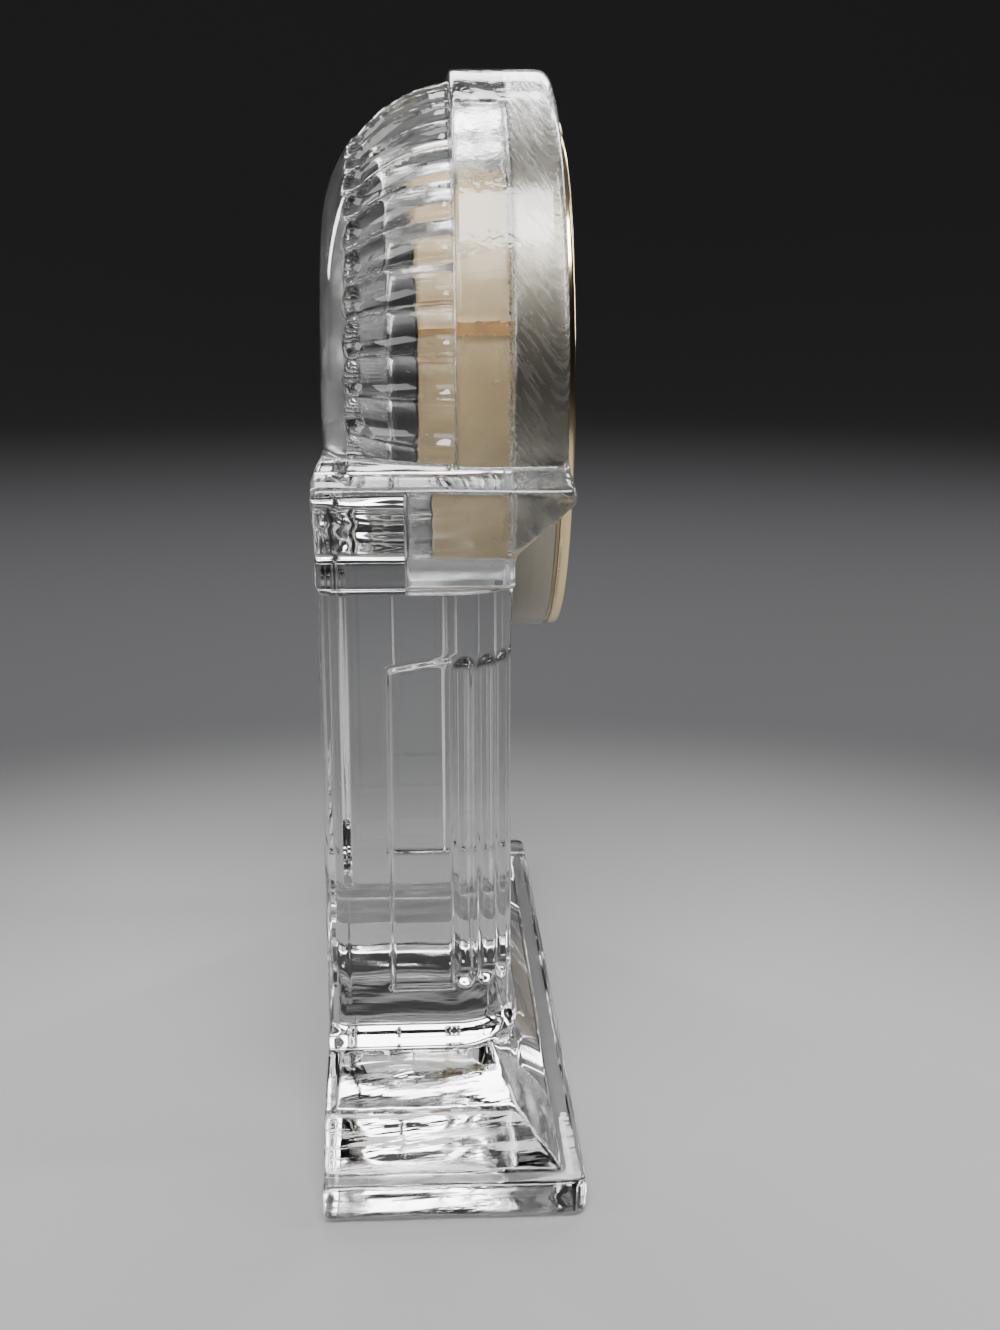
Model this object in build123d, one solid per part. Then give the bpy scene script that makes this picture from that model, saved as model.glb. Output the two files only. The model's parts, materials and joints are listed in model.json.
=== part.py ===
from build123d import *
import math
import os

# Beehive shelf clock: a solid pressed-crystal case with a pull-out quartz insert.
# Millimetres, +Z up, front towards -Y, origin under the middle of the base.

# Crystal case: base
BASE_WIDTH = 122.0
BASE_DEPTH = 33.0
BAND_HEIGHT = 5.0
BAND_CORNER = 2.0
BAND_EDGE = 0.8
BAND_LEDGE = 2.2
SLOPE_RUN = 6.0
SLOPE_RISE = 5.8
SHELF_RISE = 3.0

# Crystal case: body
BODY_WIDTH = 81.0
BODY_SETBACK = 8.0
BODY_HEIGHT = 66.0
COLUMN_RADIUS = 8.0
BACK_BEVEL = 2.0
FOOT_PROUD = 0.9
FOOT_HEIGHT = 2.2
FOOT_ROUND = 0.8
FLUTES_PER_COLUMN = 4
COLUMN_FLUTE_RADIUS = 1.65
COLUMN_FLUTE_DEPTH = 0.9
SHAFT_START = 8.0
SHAFT_HEIGHT = 45.0
PANEL_WIDTH = 8.2
PANEL_PROUD = 0.8
PANEL_SLANT = 1.4

# Crystal case: cornice
NECK_PROUD = 1.5
NECK_HEIGHT = 4.0
COVE_PROUD = 6.0
COVE_HEIGHT = 7.5
CORNICE_FRONT = 7.1
CORNICE_EDGE = 1.9
CORNICE_RISE = 1.6
CORNICE_WEATHER = 4.0

# Crystal case: head
HEAD_RADIUS = 42.0
HEAD_ABOVE_CORNICE = 8.0
HOOD_OVERHANG = 6.7
HOOD_EDGE = 1.1
DRUM_DEPTH = 7.4
DOME_STEP = 1.6
DOME_BEND = 20.2
DOME_FLUTES = 44
DOME_FLUTE_RADIUS = 3.2
DOME_FLUTE_DEPTH = 1.4
DOME_FLUTE_TURN = 47.0

# Insert: bezel, lens, dial and cup
BEZEL_RADIUS = 36.0
BEZEL_DEPTH = 7.8
BEZEL_WALL = 1.8
BEZEL_LIP = 1.6
BEZEL_LIP_THICKNESS = 1.0
BEZEL_LIP_ROUND = 0.45
BEZEL_GROOVE = 0.5
BEZEL_CRIMP = 0.8
BEZEL_CRIMP_THICKNESS = 0.4
LENS_EDGE = 1.2
LENS_CROWN = 0.8
DIAL_RING_WALL = 1.5
HAND_ROOM = 3.4
DIAL_THICKNESS = 0.5
FLANGE_THICKNESS = 1.2
CUP_RADIUS = 27.0
CUP_WALL = 1.2
CUP_STEP = 1.2
CUP_FLOOR = 1.2
GRIP_THICKNESS = 1.35
GRIP_SLIT = 0.5
GRIP_SLIT_ANGLE = 165.0
GRIP_END_GAP = 0.2

# Movement: plates and rooms between them
MOTION_ROOM = 1.8
PLATE_THICKNESS = 0.8
END_SHAKE = 0.3
LEVEL_STEP = 1.0
BRIDGE_GAP = 0.5
BRIDGE_THICKNESS = 0.7
BOARD_THICKNESS = 0.6
BOARD_RADIUS = 22.5
BOARD_TOP = 9.0
PILLAR_RADIUS = 1.3
PILLAR_SPOTS = ((10.0, -9.5), (-17.0, 7.0), (16.0, 0.5))
BACK_ROOM = 2.8
DIAL_POST_RADIUS = 1.0
DIAL_POST_CIRCLE = 22.0
DIAL_POST_ANGLES = (20.0, 200.0, 290.0)
SCREW_RADIUS = 0.5
SCREW_HEAD_RADIUS = 1.05
SCREW_HEAD_HEIGHT = 0.5
SCREW_LENGTH = 3.0

# Movement: wheel train
WHEEL_THICKNESS = 0.4
WHEEL_ADDENDUM = 0.8
WHEEL_DEDENDUM = 1.0
LEAF_ADDENDUM = 0.55
LEAF_DEDENDUM = 1.15
TIP_SHARE = 0.09
WHEEL_TOOTH_SHARE = 0.21
WHEEL_ROOT_SHARE = 0.28
LEAF_SHARE = 0.19
PINION_OVER = 0.15
ARBOR_RADIUS = 0.4
PIVOT_RADIUS = 0.28
PIVOT_REACH = 0.55
SECONDS_ARBOR = 0.4
TUBE_WALL = 0.35
ROTOR_PINION = 8
INTERMEDIATE_TEETH = 48
INTERMEDIATE_PINION = 8
FOURTH_TEETH = 40
FOURTH_PINION = 8
THIRD_TEETH = 60
THIRD_PINION = 8
CENTRE_TEETH = 64
CANNON_TEETH = 12
MINUTE_TEETH = 36
MINUTE_PINION = 10
HOUR_TEETH = 40
SETTING_TEETH = 12
ROTOR_MODULE = 0.20
INTERMEDIATE_MODULE = 0.375
CENTRE_MODULE = 0.25
MOTION_MODULE = 0.25
THIRD_ANGLE = 140.0
INTERMEDIATE_ANGLE = 35.0
ROTOR_ANGLE = 60.0
MINUTE_WHEEL_ANGLE = 270.0
SETTING_ANGLE = 270.0
SETTING_ARBOR = 0.7
KNOB_RADIUS = 3.4
KNOB_HEIGHT = 2.0
KNOB_NOTCHES = 14
KNOB_NOTCH_RADIUS = 0.4

# Movement: motor and cell
MAGNET_RADIUS = 1.6
MAGNET_HEIGHT = 1.3
STATOR_THICKNESS = 0.6
STATOR_GAP = 0.35
COIL_RADIUS = 2.2
COIL_LENGTH = 13.0
COIL_OFFSET = 17.6
CORE_WIDTH = 2.4
CORE_THICKNESS = 0.8
CORE_LENGTH = 21.0
CELL_RADIUS = 5.8
CELL_HEIGHT = 5.4
CELL_X = -12.5
CELL_Y = -6.0
CELL_CLEARANCE = 0.5
DOOR_RIM = 1.0
DOOR_THICKNESS = 0.6
DOOR_SLOT = (8.0, 1.4, 0.3)
CONTACT_THICKNESS = 0.25
CONTACT_WIDTH = 3.0
QUARTZ_RADIUS = 1.0
QUARTZ_LENGTH = 6.0
QUARTZ_ROUND = 0.25
QUARTZ_AT = (12.0, -3.5)

# Hands
HAND_THICKNESS = 0.3
HAND_STEP = 0.85
HOUR_HAND_LENGTH = 17.5
MINUTE_HAND_LENGTH = 25.5
SECOND_HAND_LENGTH = 27.0
SECOND_TAIL = 8.0
HOUR_HAND_WIDTH = 2.6
MINUTE_HAND_WIDTH = 2.0
SECOND_HAND_WIDTH = 0.7
HAND_SHOULDER = 0.7
HAND_POINT = 0.12
HUB_WALL = 0.9
REST_HOUR = 10
REST_MINUTE = 9
REST_SECOND = 36

# Clearances
RUN = 0.06
SEAT = 0.1
SOCKET_CLEARANCE = 0.1
RECESS_CLEARANCE = 1.3
SOCKET_END_GAP = 3.4
FREE = 0.4

# Levels of the case, from the floor up
back = BASE_DEPTH / 2
body_front = BODY_SETBACK - BASE_DEPTH / 2
slope_top = BAND_HEIGHT + SLOPE_RISE
body_start = slope_top + SHELF_RISE
neck_start = body_start + BODY_HEIGHT - NECK_HEIGHT
cove_start = neck_start + NECK_HEIGHT
cornice_start = cove_start + COVE_HEIGHT
cornice_top = cornice_start + CORNICE_EDGE + CORNICE_RISE
head_height = cornice_top + HEAD_ABOVE_CORNICE

# Levels of the head and insert, counted forwards from the middle of the base
seat_level = -body_front
hood_front = seat_level + HOOD_OVERHANG
drum_back = seat_level - DRUM_DEPTH
dome_back = -back
bezel_front = seat_level + BEZEL_DEPTH
lens_front = bezel_front - BEZEL_LIP_THICKNESS
lens_back = lens_front - LENS_EDGE
dial_front = lens_back - HAND_ROOM
dial_back = dial_front - DIAL_THICKNESS
flange_back = dial_back - FLANGE_THICKNESS
plate_front = dial_back - MOTION_ROOM
plate_back = plate_front - PLATE_THICKNESS
train_room = END_SHAKE + 3 * LEVEL_STEP + WHEEL_THICKNESS + BRIDGE_GAP
bridge_front = plate_back - train_room
bridge_back = bridge_front - BRIDGE_THICKNESS
board_back = bridge_back - BOARD_THICKNESS
floor_front = board_back - BACK_ROOM
cup_back = floor_front - CUP_FLOOR
socket_floor = cup_back - SOCKET_END_GAP
bore_radius = BEZEL_RADIUS - BEZEL_WALL
stack_radius = bore_radius - SEAT
cup_bore = CUP_RADIUS - CUP_WALL
room_radius = cup_bore - CUP_STEP
grip_radius = CUP_RADIUS + GRIP_THICKNESS
socket_radius = grip_radius + SOCKET_CLEARANCE


def seated(shape):
    """Stand a piece of the insert, built with its axis upright, in the head."""
    return Pos(0, 0, head_height) * Rot(90, 0, 0) * shape


def polar(radius, angle):
    """Give the point at this radius and angle in degrees."""
    turn = math.radians(angle)
    return (radius * math.cos(turn), radius * math.sin(turn))


def disc(radius, low, high, at=(0, 0)):
    """Make an upright cylinder between two levels."""
    bottom = Plane.XY.offset(low) * Pos(at[0], at[1], 0) * Circle(radius)
    return extrude(bottom, high - low)


def ring(outer, inner, low, high, at=(0, 0)):
    """Make an upright tube between two levels."""
    flat = Circle(outer) - Circle(inner)
    return extrude(Plane.XY.offset(low) * Pos(at[0], at[1], 0) * flat, high - low)


def footprint(half_width, front, level, corner=0.0):
    """Draw a plan outline that shares the clock's flat back, with rounded front corners."""
    width = 2 * half_width
    depth = back - front
    middle = (back + front) / 2
    plan = Pos(0, middle) * Rectangle(width, depth)
    if corner:
        plan = fillet(plan.vertices().sort_by(Axis.Y)[:2], corner)
    return Plane.XY.offset(level) * plan


def tier(half_width, front, low, high, corner=0.0):
    """Make an upright block of the case between two levels."""
    return extrude(footprint(half_width, front, low, corner), high - low)


def slope(lower, upper):
    """Join two plan outlines, each given as half width, front and level, by sloping faces."""
    return loft([footprint(*lower), footprint(*upper)], ruled=True)


def make_base():
    """Make the plain band, the sloping moulding and the low shelf that carries the body."""
    half = BASE_WIDTH / 2
    front = -BASE_DEPTH / 2
    band = tier(half, front, 0, BAND_HEIGHT, BAND_CORNER)
    rims = band.edges().group_by(Axis.Z)[-1] + band.edges().group_by(Axis.Z)[0]
    rims = rims.filter_by(lambda edge: edge.center().Y < back - BAND_EDGE)
    band = chamfer(rims, BAND_EDGE)
    low = (half - BAND_LEDGE, front + BAND_LEDGE, BAND_HEIGHT - BAND_EDGE)
    mid = (low[0] - SLOPE_RUN, low[1] + SLOPE_RUN, slope_top)
    high = (BODY_WIDTH / 2 + FOOT_PROUD, body_front - FOOT_PROUD / 2, body_start)
    return band + slope(low, mid) + slope(mid, high)


def make_body():
    """Make the body with rounded front corners, bevelled back corners and a bead at its foot."""
    half = BODY_WIDTH / 2
    body = tier(half, body_front, slope_top, cornice_start, COLUMN_RADIUS)
    corners = body.edges().filter_by(Axis.Z).group_by(Axis.Y)[-1]
    body = chamfer(corners, BACK_BEVEL)
    foot_top = body_start + FOOT_HEIGHT
    foot = tier(half + FOOT_PROUD, body_front - FOOT_PROUD, body_start - FOOT_HEIGHT / 2, foot_top,
                COLUMN_RADIUS + FOOT_PROUD)
    rim = foot.edges().group_by(Axis.Z)[-1].filter_by(lambda edge: edge.center().Y < back - FOOT_PROUD)
    foot = fillet(rim, FOOT_ROUND)
    neck = tier(half + NECK_PROUD, body_front, neck_start, cove_start)
    for side in (-1, 1):
        body += Pos(side * half, 0, 0) * side_panel()
    return body + foot + neck


def side_panel():
    """Make a raised side panel round the plane of its side; its top falls towards the back."""
    start = body_front + COLUMN_RADIUS
    end = start + PANEL_WIDTH
    low = body_start + SHAFT_START
    high = low + SHAFT_HEIGHT
    corners = [(start, low), (end, low), (end, high - PANEL_SLANT), (start, high)]
    outline = Plane.YZ * make_face(Polyline(*corners, close=True))
    return extrude(outline, PANEL_PROUD, both=True)


def column_flutes():
    """Make the cutters of the upright flutes round both front corners."""
    reach = COLUMN_RADIUS + COLUMN_FLUTE_RADIUS - COLUMN_FLUTE_DEPTH
    low = body_start + SHAFT_START + COLUMN_FLUTE_RADIUS
    high = body_start + SHAFT_START + SHAFT_HEIGHT - COLUMN_FLUTE_RADIUS
    cutters = []
    for side in (-1, 1):
        for index in range(FLUTES_PER_COLUMN):
            x, y = polar(reach, 90.0 * (index + 0.5) / FLUTES_PER_COLUMN)
            spot = (side * (BODY_WIDTH / 2 - COLUMN_RADIUS + x), body_front + COLUMN_RADIUS - y)
            cutter = disc(COLUMN_FLUTE_RADIUS, low, high, spot)
            cutter += Pos(spot[0], spot[1], low) * Sphere(COLUMN_FLUTE_RADIUS)
            cutter += Pos(spot[0], spot[1], high) * Sphere(COLUMN_FLUTE_RADIUS)
            cutters.append(cutter)
    return cutters


def make_cornice():
    """Make the flared cove, the square edge and the weathered top on which the head stands."""
    half = BODY_WIDTH / 2 + NECK_PROUD
    edge_half = half + COVE_PROUD
    edge_front = body_front - CORNICE_FRONT
    edge_top = cornice_start + CORNICE_EDGE
    cove = slope((half, body_front, cove_start), (edge_half, edge_front, cornice_start))
    edge = tier(edge_half, edge_front, cornice_start, edge_top)
    top = slope((edge_half, edge_front, edge_top),
                (edge_half - CORNICE_WEATHER, edge_front + CORNICE_FRONT - HOOD_OVERHANG, cornice_top))
    return cove + edge + top


def make_head():
    """Make the round drum, the hood ring in front of it and the dome behind it."""
    drum = disc(HEAD_RADIUS, drum_back, hood_front)
    drum = fillet(drum.edges().group_by(Axis.Z)[-1], HOOD_EDGE)
    dome_radius = HEAD_RADIUS - DOME_STEP
    bend_x = dome_radius - DOME_BEND
    bend_y = dome_back + DOME_BEND
    start = math.asin((drum_back - bend_y) / DOME_BEND)
    rim = (bend_x + DOME_BEND * math.cos(start), drum_back)
    middle = (bend_x + DOME_BEND * math.cos((start - math.pi / 2) / 2),
              bend_y + DOME_BEND * math.sin((start - math.pi / 2) / 2))
    flat = (bend_x, dome_back)
    outline = Polyline((0, dome_back), (0, drum_back), rim) + ThreePointArc(rim, middle, flat)
    outline += Line(flat, (0, dome_back))
    dome = revolve(Plane.XZ * make_face(outline), Axis.Z)
    head = seated(drum + dome)
    skirt = Pos(0, -seat_level - 2 * HOOD_OVERHANG, 0) * Box(
        4 * HEAD_RADIUS, 4 * HOOD_OVERHANG, 2 * cornice_start)
    return head - skirt


def dome_flutes():
    """Make the cutters of the flutes that fan out over the back of the head."""
    bend_x = HEAD_RADIUS - DOME_STEP - DOME_BEND
    bend_y = dome_back + DOME_BEND
    reach = DOME_BEND + DOME_FLUTE_RADIUS - DOME_FLUTE_DEPTH
    hinge = Axis((bend_x, 0, bend_y), (0, 1, 0))
    groove = Pos(bend_x + reach, 0, bend_y) * Circle(DOME_FLUTE_RADIUS)
    cutter = revolve(groove, hinge, DOME_FLUTE_TURN)
    tip_x, tip_y = polar(reach, DOME_FLUTE_TURN)
    cutter += Pos(bend_x + tip_x, 0, bend_y - tip_y) * Sphere(DOME_FLUTE_RADIUS)
    keep = disc(2 * HEAD_RADIUS, 2 * dome_back, drum_back)
    cutter = cutter & keep
    pitch = 360.0 / DOME_FLUTES
    lowest = -math.degrees(math.asin(HEAD_ABOVE_CORNICE / HEAD_RADIUS))
    cutters = []
    for index in range(DOME_FLUTES):
        angle = (index + 0.5) * pitch
        if math.sin(math.radians(angle)) > math.sin(math.radians(lowest)):
            cutters.append(seated(Rot(0, 0, angle) * cutter))
    return cutters


def make_case():
    """Make the crystal casting, with the recess for the bezel and the blind socket for the cup."""
    case = make_base() + make_body() + make_cornice() + make_head()
    recess = disc(BEZEL_RADIUS + RECESS_CLEARANCE, seat_level, hood_front + HOOD_OVERHANG)
    socket = disc(socket_radius, socket_floor, seat_level)
    case -= seated(recess + socket)
    case -= column_flutes()
    return case - dome_flutes()


def lathe(*points):
    """Turn a closed outline of radius and level points round the insert's axis."""
    return revolve(Plane.XZ * make_face(Polyline(*points, close=True)), Axis.Z)


def make_bezel():
    """Make the spun bezel: drum, turned groove, rounded lip in front and crimped edge behind."""
    lip_bore = bore_radius - BEZEL_LIP
    crimp_bore = bore_radius - BEZEL_CRIMP
    crimp_top = seat_level + BEZEL_CRIMP_THICKNESS
    bezel = lathe((crimp_bore, seat_level), (BEZEL_RADIUS, seat_level), (BEZEL_RADIUS, bezel_front),
                  (lip_bore, bezel_front), (lip_bore, lens_front), (bore_radius, lens_front),
                  (bore_radius, crimp_top), (crimp_bore, crimp_top))
    rim = bezel.edges().group_by(Axis.Z)[-1]
    bezel = fillet(rim, BEZEL_LIP_ROUND)
    groove_high = lens_front - BEZEL_GROOVE
    groove_low = groove_high - BEZEL_GROOVE
    return bezel - ring(BEZEL_RADIUS + BEZEL_WALL, BEZEL_RADIUS - BEZEL_GROOVE, groove_low, groove_high)


def make_lens():
    """Make the shallow domed lens with a flat rim under the bezel's lip."""
    flat = bore_radius - BEZEL_LIP - FREE
    crown_radius = (flat**2 + LENS_CROWN**2) / (2 * LENS_CROWN)
    top = (0, lens_front + LENS_CROWN)
    hollow = (0, lens_back + LENS_CROWN)
    outline = Line(hollow, top) + RadiusArc(top, (flat, lens_front), crown_radius)
    outline += Polyline((flat, lens_front), (stack_radius, lens_front),
                        (stack_radius, lens_back), (flat, lens_back))
    outline += RadiusArc((flat, lens_back), hollow, -crown_radius)
    return revolve(Plane.XZ * make_face(outline), Axis.Z)


def gear(teeth, module, low, high, phase, leaf=False):
    """Make a toothed disc with a tooth at the phase angle; a leaf has a pinion's radial flanks."""
    pitch = 360.0 / teeth
    radius = teeth * module / 2
    tip = radius + module * (LEAF_ADDENDUM if leaf else WHEEL_ADDENDUM)
    root = radius - module * (LEAF_DEDENDUM if leaf else WHEEL_DEDENDUM)
    at_tip = pitch * TIP_SHARE * radius / tip
    at_pitch = pitch * (LEAF_SHARE if leaf else WHEEL_TOOTH_SHARE)
    at_root = pitch * (LEAF_SHARE if leaf else WHEEL_ROOT_SHARE)
    points = []
    for index in range(teeth):
        middle = phase + index * pitch
        points.append(polar(root, middle - at_root))
        points.append(polar(radius, middle - at_pitch))
        points.append(polar(tip, middle - at_tip))
        points.append(polar(tip, middle + at_tip))
        points.append(polar(radius, middle + at_pitch))
        points.append(polar(root, middle + at_root))
    return extrude(Plane.XY.offset(low) * make_face(Polyline(*points, close=True)), high - low)


def gap_phase(teeth, toward):
    """Give the phase that turns a gap between two teeth toward this angle."""
    return toward + 180.0 / teeth


# Places of the arbors, seen from the front, from the middle of the dial
centre_distance = (CENTRE_TEETH + THIRD_PINION) * CENTRE_MODULE / 2
third_module = 2 * centre_distance / (THIRD_TEETH + FOURTH_PINION)
third_at = polar(centre_distance, THIRD_ANGLE)
intermediate_at = polar((FOURTH_TEETH + INTERMEDIATE_PINION) * INTERMEDIATE_MODULE / 2, INTERMEDIATE_ANGLE)
rotor_step = polar((INTERMEDIATE_TEETH + ROTOR_PINION) * ROTOR_MODULE / 2, ROTOR_ANGLE)
rotor_at = (intermediate_at[0] + rotor_step[0], intermediate_at[1] + rotor_step[1])
motion_distance = (CANNON_TEETH + MINUTE_TEETH) * MOTION_MODULE / 2
hour_module = 2 * motion_distance / (HOUR_TEETH + MINUTE_PINION)
minute_at = polar(motion_distance, MINUTE_WHEEL_ANGLE)
setting_step = polar((MINUTE_TEETH + SETTING_TEETH) * MOTION_MODULE / 2, SETTING_ANGLE)
setting_at = (minute_at[0] + setting_step[0], minute_at[1] + setting_step[1])
cell_at = (CELL_X, CELL_Y)

# Radii of the nested arbors in the middle of the dial
tube_bore = SECONDS_ARBOR + RUN
tube_radius = tube_bore + TUBE_WALL
cannon_bore = tube_radius + RUN
cannon_radius = cannon_bore + TUBE_WALL
hour_bore = cannon_radius + RUN
hour_radius = hour_bore + TUBE_WALL
hour_hand_low = dial_front + FREE
minute_hand_low = hour_hand_low + HAND_STEP
second_hand_low = minute_hand_low + HAND_STEP


def level(index):
    """Give the front of the wheel on this level of the train, counted from the main plate."""
    return plate_back - END_SHAKE - index * LEVEL_STEP


def wheel_at(index, teeth, module, phase):
    """Make a wheel on its level of the train."""
    return gear(teeth, module, level(index) - WHEEL_THICKNESS, level(index), phase)


def pinion_at(index, teeth, module, phase):
    """Make a pinion that meets the wheel on this level of the train."""
    return gear(teeth, module, level(index) - WHEEL_THICKNESS - PINION_OVER, level(index) + PINION_OVER,
                phase, leaf=True)


def arbor():
    """Make an arbor between the plates, with a thin pivot at each end."""
    shaft = disc(ARBOR_RADIUS, bridge_front + RUN, plate_back - RUN)
    return shaft + disc(PIVOT_RADIUS, bridge_front - PIVOT_REACH, plate_back + PIVOT_REACH)


def make_rotor():
    """Make the motor's magnet and pinion on their arbor."""
    toward = ROTOR_ANGLE + 180
    magnet = disc(MAGNET_RADIUS, plate_back - END_SHAKE - MAGNET_HEIGHT, plate_back - END_SHAKE)
    pinion = pinion_at(2, ROTOR_PINION, ROTOR_MODULE, gap_phase(ROTOR_PINION, toward))
    return Pos(*rotor_at) * (magnet + arbor() + pinion)


def make_intermediate():
    """Make the first reduction wheel and its pinion."""
    wheel = wheel_at(2, INTERMEDIATE_TEETH, ROTOR_MODULE, ROTOR_ANGLE)
    toward = INTERMEDIATE_ANGLE + 180
    pinion = pinion_at(3, INTERMEDIATE_PINION, INTERMEDIATE_MODULE, gap_phase(INTERMEDIATE_PINION, toward))
    return Pos(*intermediate_at) * (wheel + pinion + arbor())


def make_fourth():
    """Make the seconds wheel, whose long arbor carries the second hand."""
    wheel = wheel_at(3, FOURTH_TEETH, INTERMEDIATE_MODULE, INTERMEDIATE_ANGLE)
    pinion = pinion_at(1, FOURTH_PINION, third_module, gap_phase(FOURTH_PINION, THIRD_ANGLE))
    shaft = disc(SECONDS_ARBOR, bridge_front + RUN, second_hand_low + HAND_THICKNESS)
    pivot = disc(PIVOT_RADIUS, bridge_front - PIVOT_REACH, bridge_front + RUN)
    return wheel + pinion + shaft + pivot


def make_third():
    """Make the wheel between the seconds and the minutes."""
    wheel = wheel_at(1, THIRD_TEETH, third_module, THIRD_ANGLE + 180)
    pinion = pinion_at(0, THIRD_PINION, CENTRE_MODULE, gap_phase(THIRD_PINION, THIRD_ANGLE + 180))
    return Pos(*third_at) * (wheel + pinion + arbor())


def make_centre():
    """Make the wheel that turns once an hour, on a tube that carries the cannon pinion."""
    wheel = wheel_at(0, CENTRE_TEETH, CENTRE_MODULE, THIRD_ANGLE)
    tube = disc(tube_radius, level(0) - WHEEL_THICKNESS - PINION_OVER, hour_hand_low + HAND_THICKNESS)
    return wheel + tube - disc(tube_bore, plate_back - LEVEL_STEP - END_SHAKE, bezel_front)


def make_cannon():
    """Make the cannon pinion, a friction sleeve whose top carries the minute hand."""
    low = plate_front + SEAT
    pinion = gear(CANNON_TEETH, MOTION_MODULE, low, low + WHEEL_THICKNESS + PINION_OVER,
                  gap_phase(CANNON_TEETH, MINUTE_WHEEL_ANGLE), leaf=True)
    sleeve = disc(cannon_radius, low, minute_hand_low + HAND_THICKNESS)
    return pinion + sleeve - disc(cannon_bore, plate_back, bezel_front)


def make_minute_wheel():
    """Make the wheel of the motion work, which turns on a stud of the main plate."""
    low = plate_front + SEAT
    wheel = gear(MINUTE_TEETH, MOTION_MODULE, low, low + WHEEL_THICKNESS, MINUTE_WHEEL_ANGLE + 180)
    toward = MINUTE_WHEEL_ANGLE + 180
    pinion = gear(MINUTE_PINION, hour_module, low, dial_back - SEAT,
                  gap_phase(MINUTE_PINION, toward), leaf=True)
    return Pos(*minute_at) * (wheel + pinion - disc(ARBOR_RADIUS + RUN, plate_back, dial_front))


def make_hour_wheel():
    """Make the wheel that turns once in twelve hours, whose pipe carries the hour hand."""
    high = dial_back - 3 * SEAT
    wheel = gear(HOUR_TEETH, hour_module, high - WHEEL_THICKNESS, high, MINUTE_WHEEL_ANGLE)
    pipe = disc(hour_radius, high - WHEEL_THICKNESS, hour_hand_low + HAND_THICKNESS)
    return wheel + pipe - disc(hour_bore, plate_back, bezel_front)


def make_setting_arbor():
    """Make the arbor that sets the hands, with its pinion in front and its knob's seat behind."""
    toward = SETTING_ANGLE + 180
    low = plate_front + SEAT
    pinion = gear(SETTING_TEETH, MOTION_MODULE, low, low + WHEEL_THICKNESS + PINION_OVER,
                  gap_phase(SETTING_TEETH, toward), leaf=True)
    shaft = disc(SETTING_ARBOR, cup_back - KNOB_HEIGHT - SEAT, low)
    return Pos(*setting_at) * (pinion + shaft)


def make_setting_knob():
    """Make the knurled setting knob behind the cup."""
    high = cup_back - SEAT
    knob = ring(KNOB_RADIUS, SETTING_ARBOR, high - KNOB_HEIGHT, high)
    for index in range(KNOB_NOTCHES):
        spot = polar(KNOB_RADIUS, index * 360.0 / KNOB_NOTCHES)
        knob -= disc(KNOB_NOTCH_RADIUS, high - KNOB_HEIGHT, high, spot)
    return Pos(*setting_at) * knob


def hand(length, width, hub, bore, low, tail=0.0):
    """Make a tapered hand that points up, with a round hub on its arbor."""
    side = width / 2
    point = HAND_POINT * width
    shoulder = HAND_SHOULDER * length
    blade = Polyline((-side, -tail), (side, -tail), (side, shoulder), (point, length),
                     (-point, length), (-side, shoulder), close=True)
    outline = make_face(blade) + Circle(hub)
    if bore:
        outline -= Circle(bore)
    return extrude(Plane.XY.offset(low) * outline, HAND_THICKNESS)


def make_hands():
    """Make the three hands at the time they show at rest."""
    hour_angle = -30.0 * (REST_HOUR + REST_MINUTE / 60.0)
    minute_angle = -6.0 * REST_MINUTE
    second_angle = -6.0 * REST_SECOND
    hour = hand(HOUR_HAND_LENGTH, HOUR_HAND_WIDTH, hour_radius + HUB_WALL,
                hour_radius, hour_hand_low)
    minute = hand(MINUTE_HAND_LENGTH, MINUTE_HAND_WIDTH, cannon_radius + HUB_WALL,
                  cannon_radius, minute_hand_low)
    second = hand(SECOND_HAND_LENGTH, SECOND_HAND_WIDTH, SECONDS_ARBOR + HUB_WALL,
                  SECONDS_ARBOR, second_hand_low, SECOND_TAIL)
    hour = Rot(0, 0, hour_angle) * hour
    minute = Rot(0, 0, minute_angle) * minute
    second = Rot(0, 0, second_angle) * second
    return hour, minute, second


def make_cup():
    """Make the cup that holds the movement, with its flange, its step and its back openings."""
    cup = disc(CUP_RADIUS, cup_back, dial_back) + disc(stack_radius, flange_back, dial_back)
    cup -= disc(cup_bore, plate_back, dial_back)
    cup -= disc(room_radius, floor_front, plate_back)
    cup -= disc(CELL_RADIUS + CELL_CLEARANCE, cup_back, floor_front, cell_at)
    cup -= disc(CELL_RADIUS + CELL_CLEARANCE + DOOR_RIM, cup_back, cup_back + DOOR_THICKNESS, cell_at)
    return cup - disc(SETTING_ARBOR + RUN, cup_back, floor_front, setting_at)


def make_door():
    """Make the round cell cover, which a coin turns in its seat."""
    cover = disc(CELL_RADIUS + CELL_CLEARANCE + DOOR_RIM - RUN, cup_back, cup_back + DOOR_THICKNESS)
    length, width, depth = DOOR_SLOT
    slot = Pos(0, 0, cup_back) * Box(length, width, 2 * depth)
    return Pos(*cell_at) * (cover - slot)


def make_grip():
    """Make the split band that grips the socket."""
    band = ring(grip_radius, CUP_RADIUS, cup_back + GRIP_END_GAP, seat_level - GRIP_END_GAP)
    slit = Rot(0, 0, GRIP_SLIT_ANGLE) * Pos(grip_radius, 0, 0) * Box(
        4 * GRIP_THICKNESS, GRIP_SLIT, 4 * (seat_level - cup_back))
    return band - slit


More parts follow.
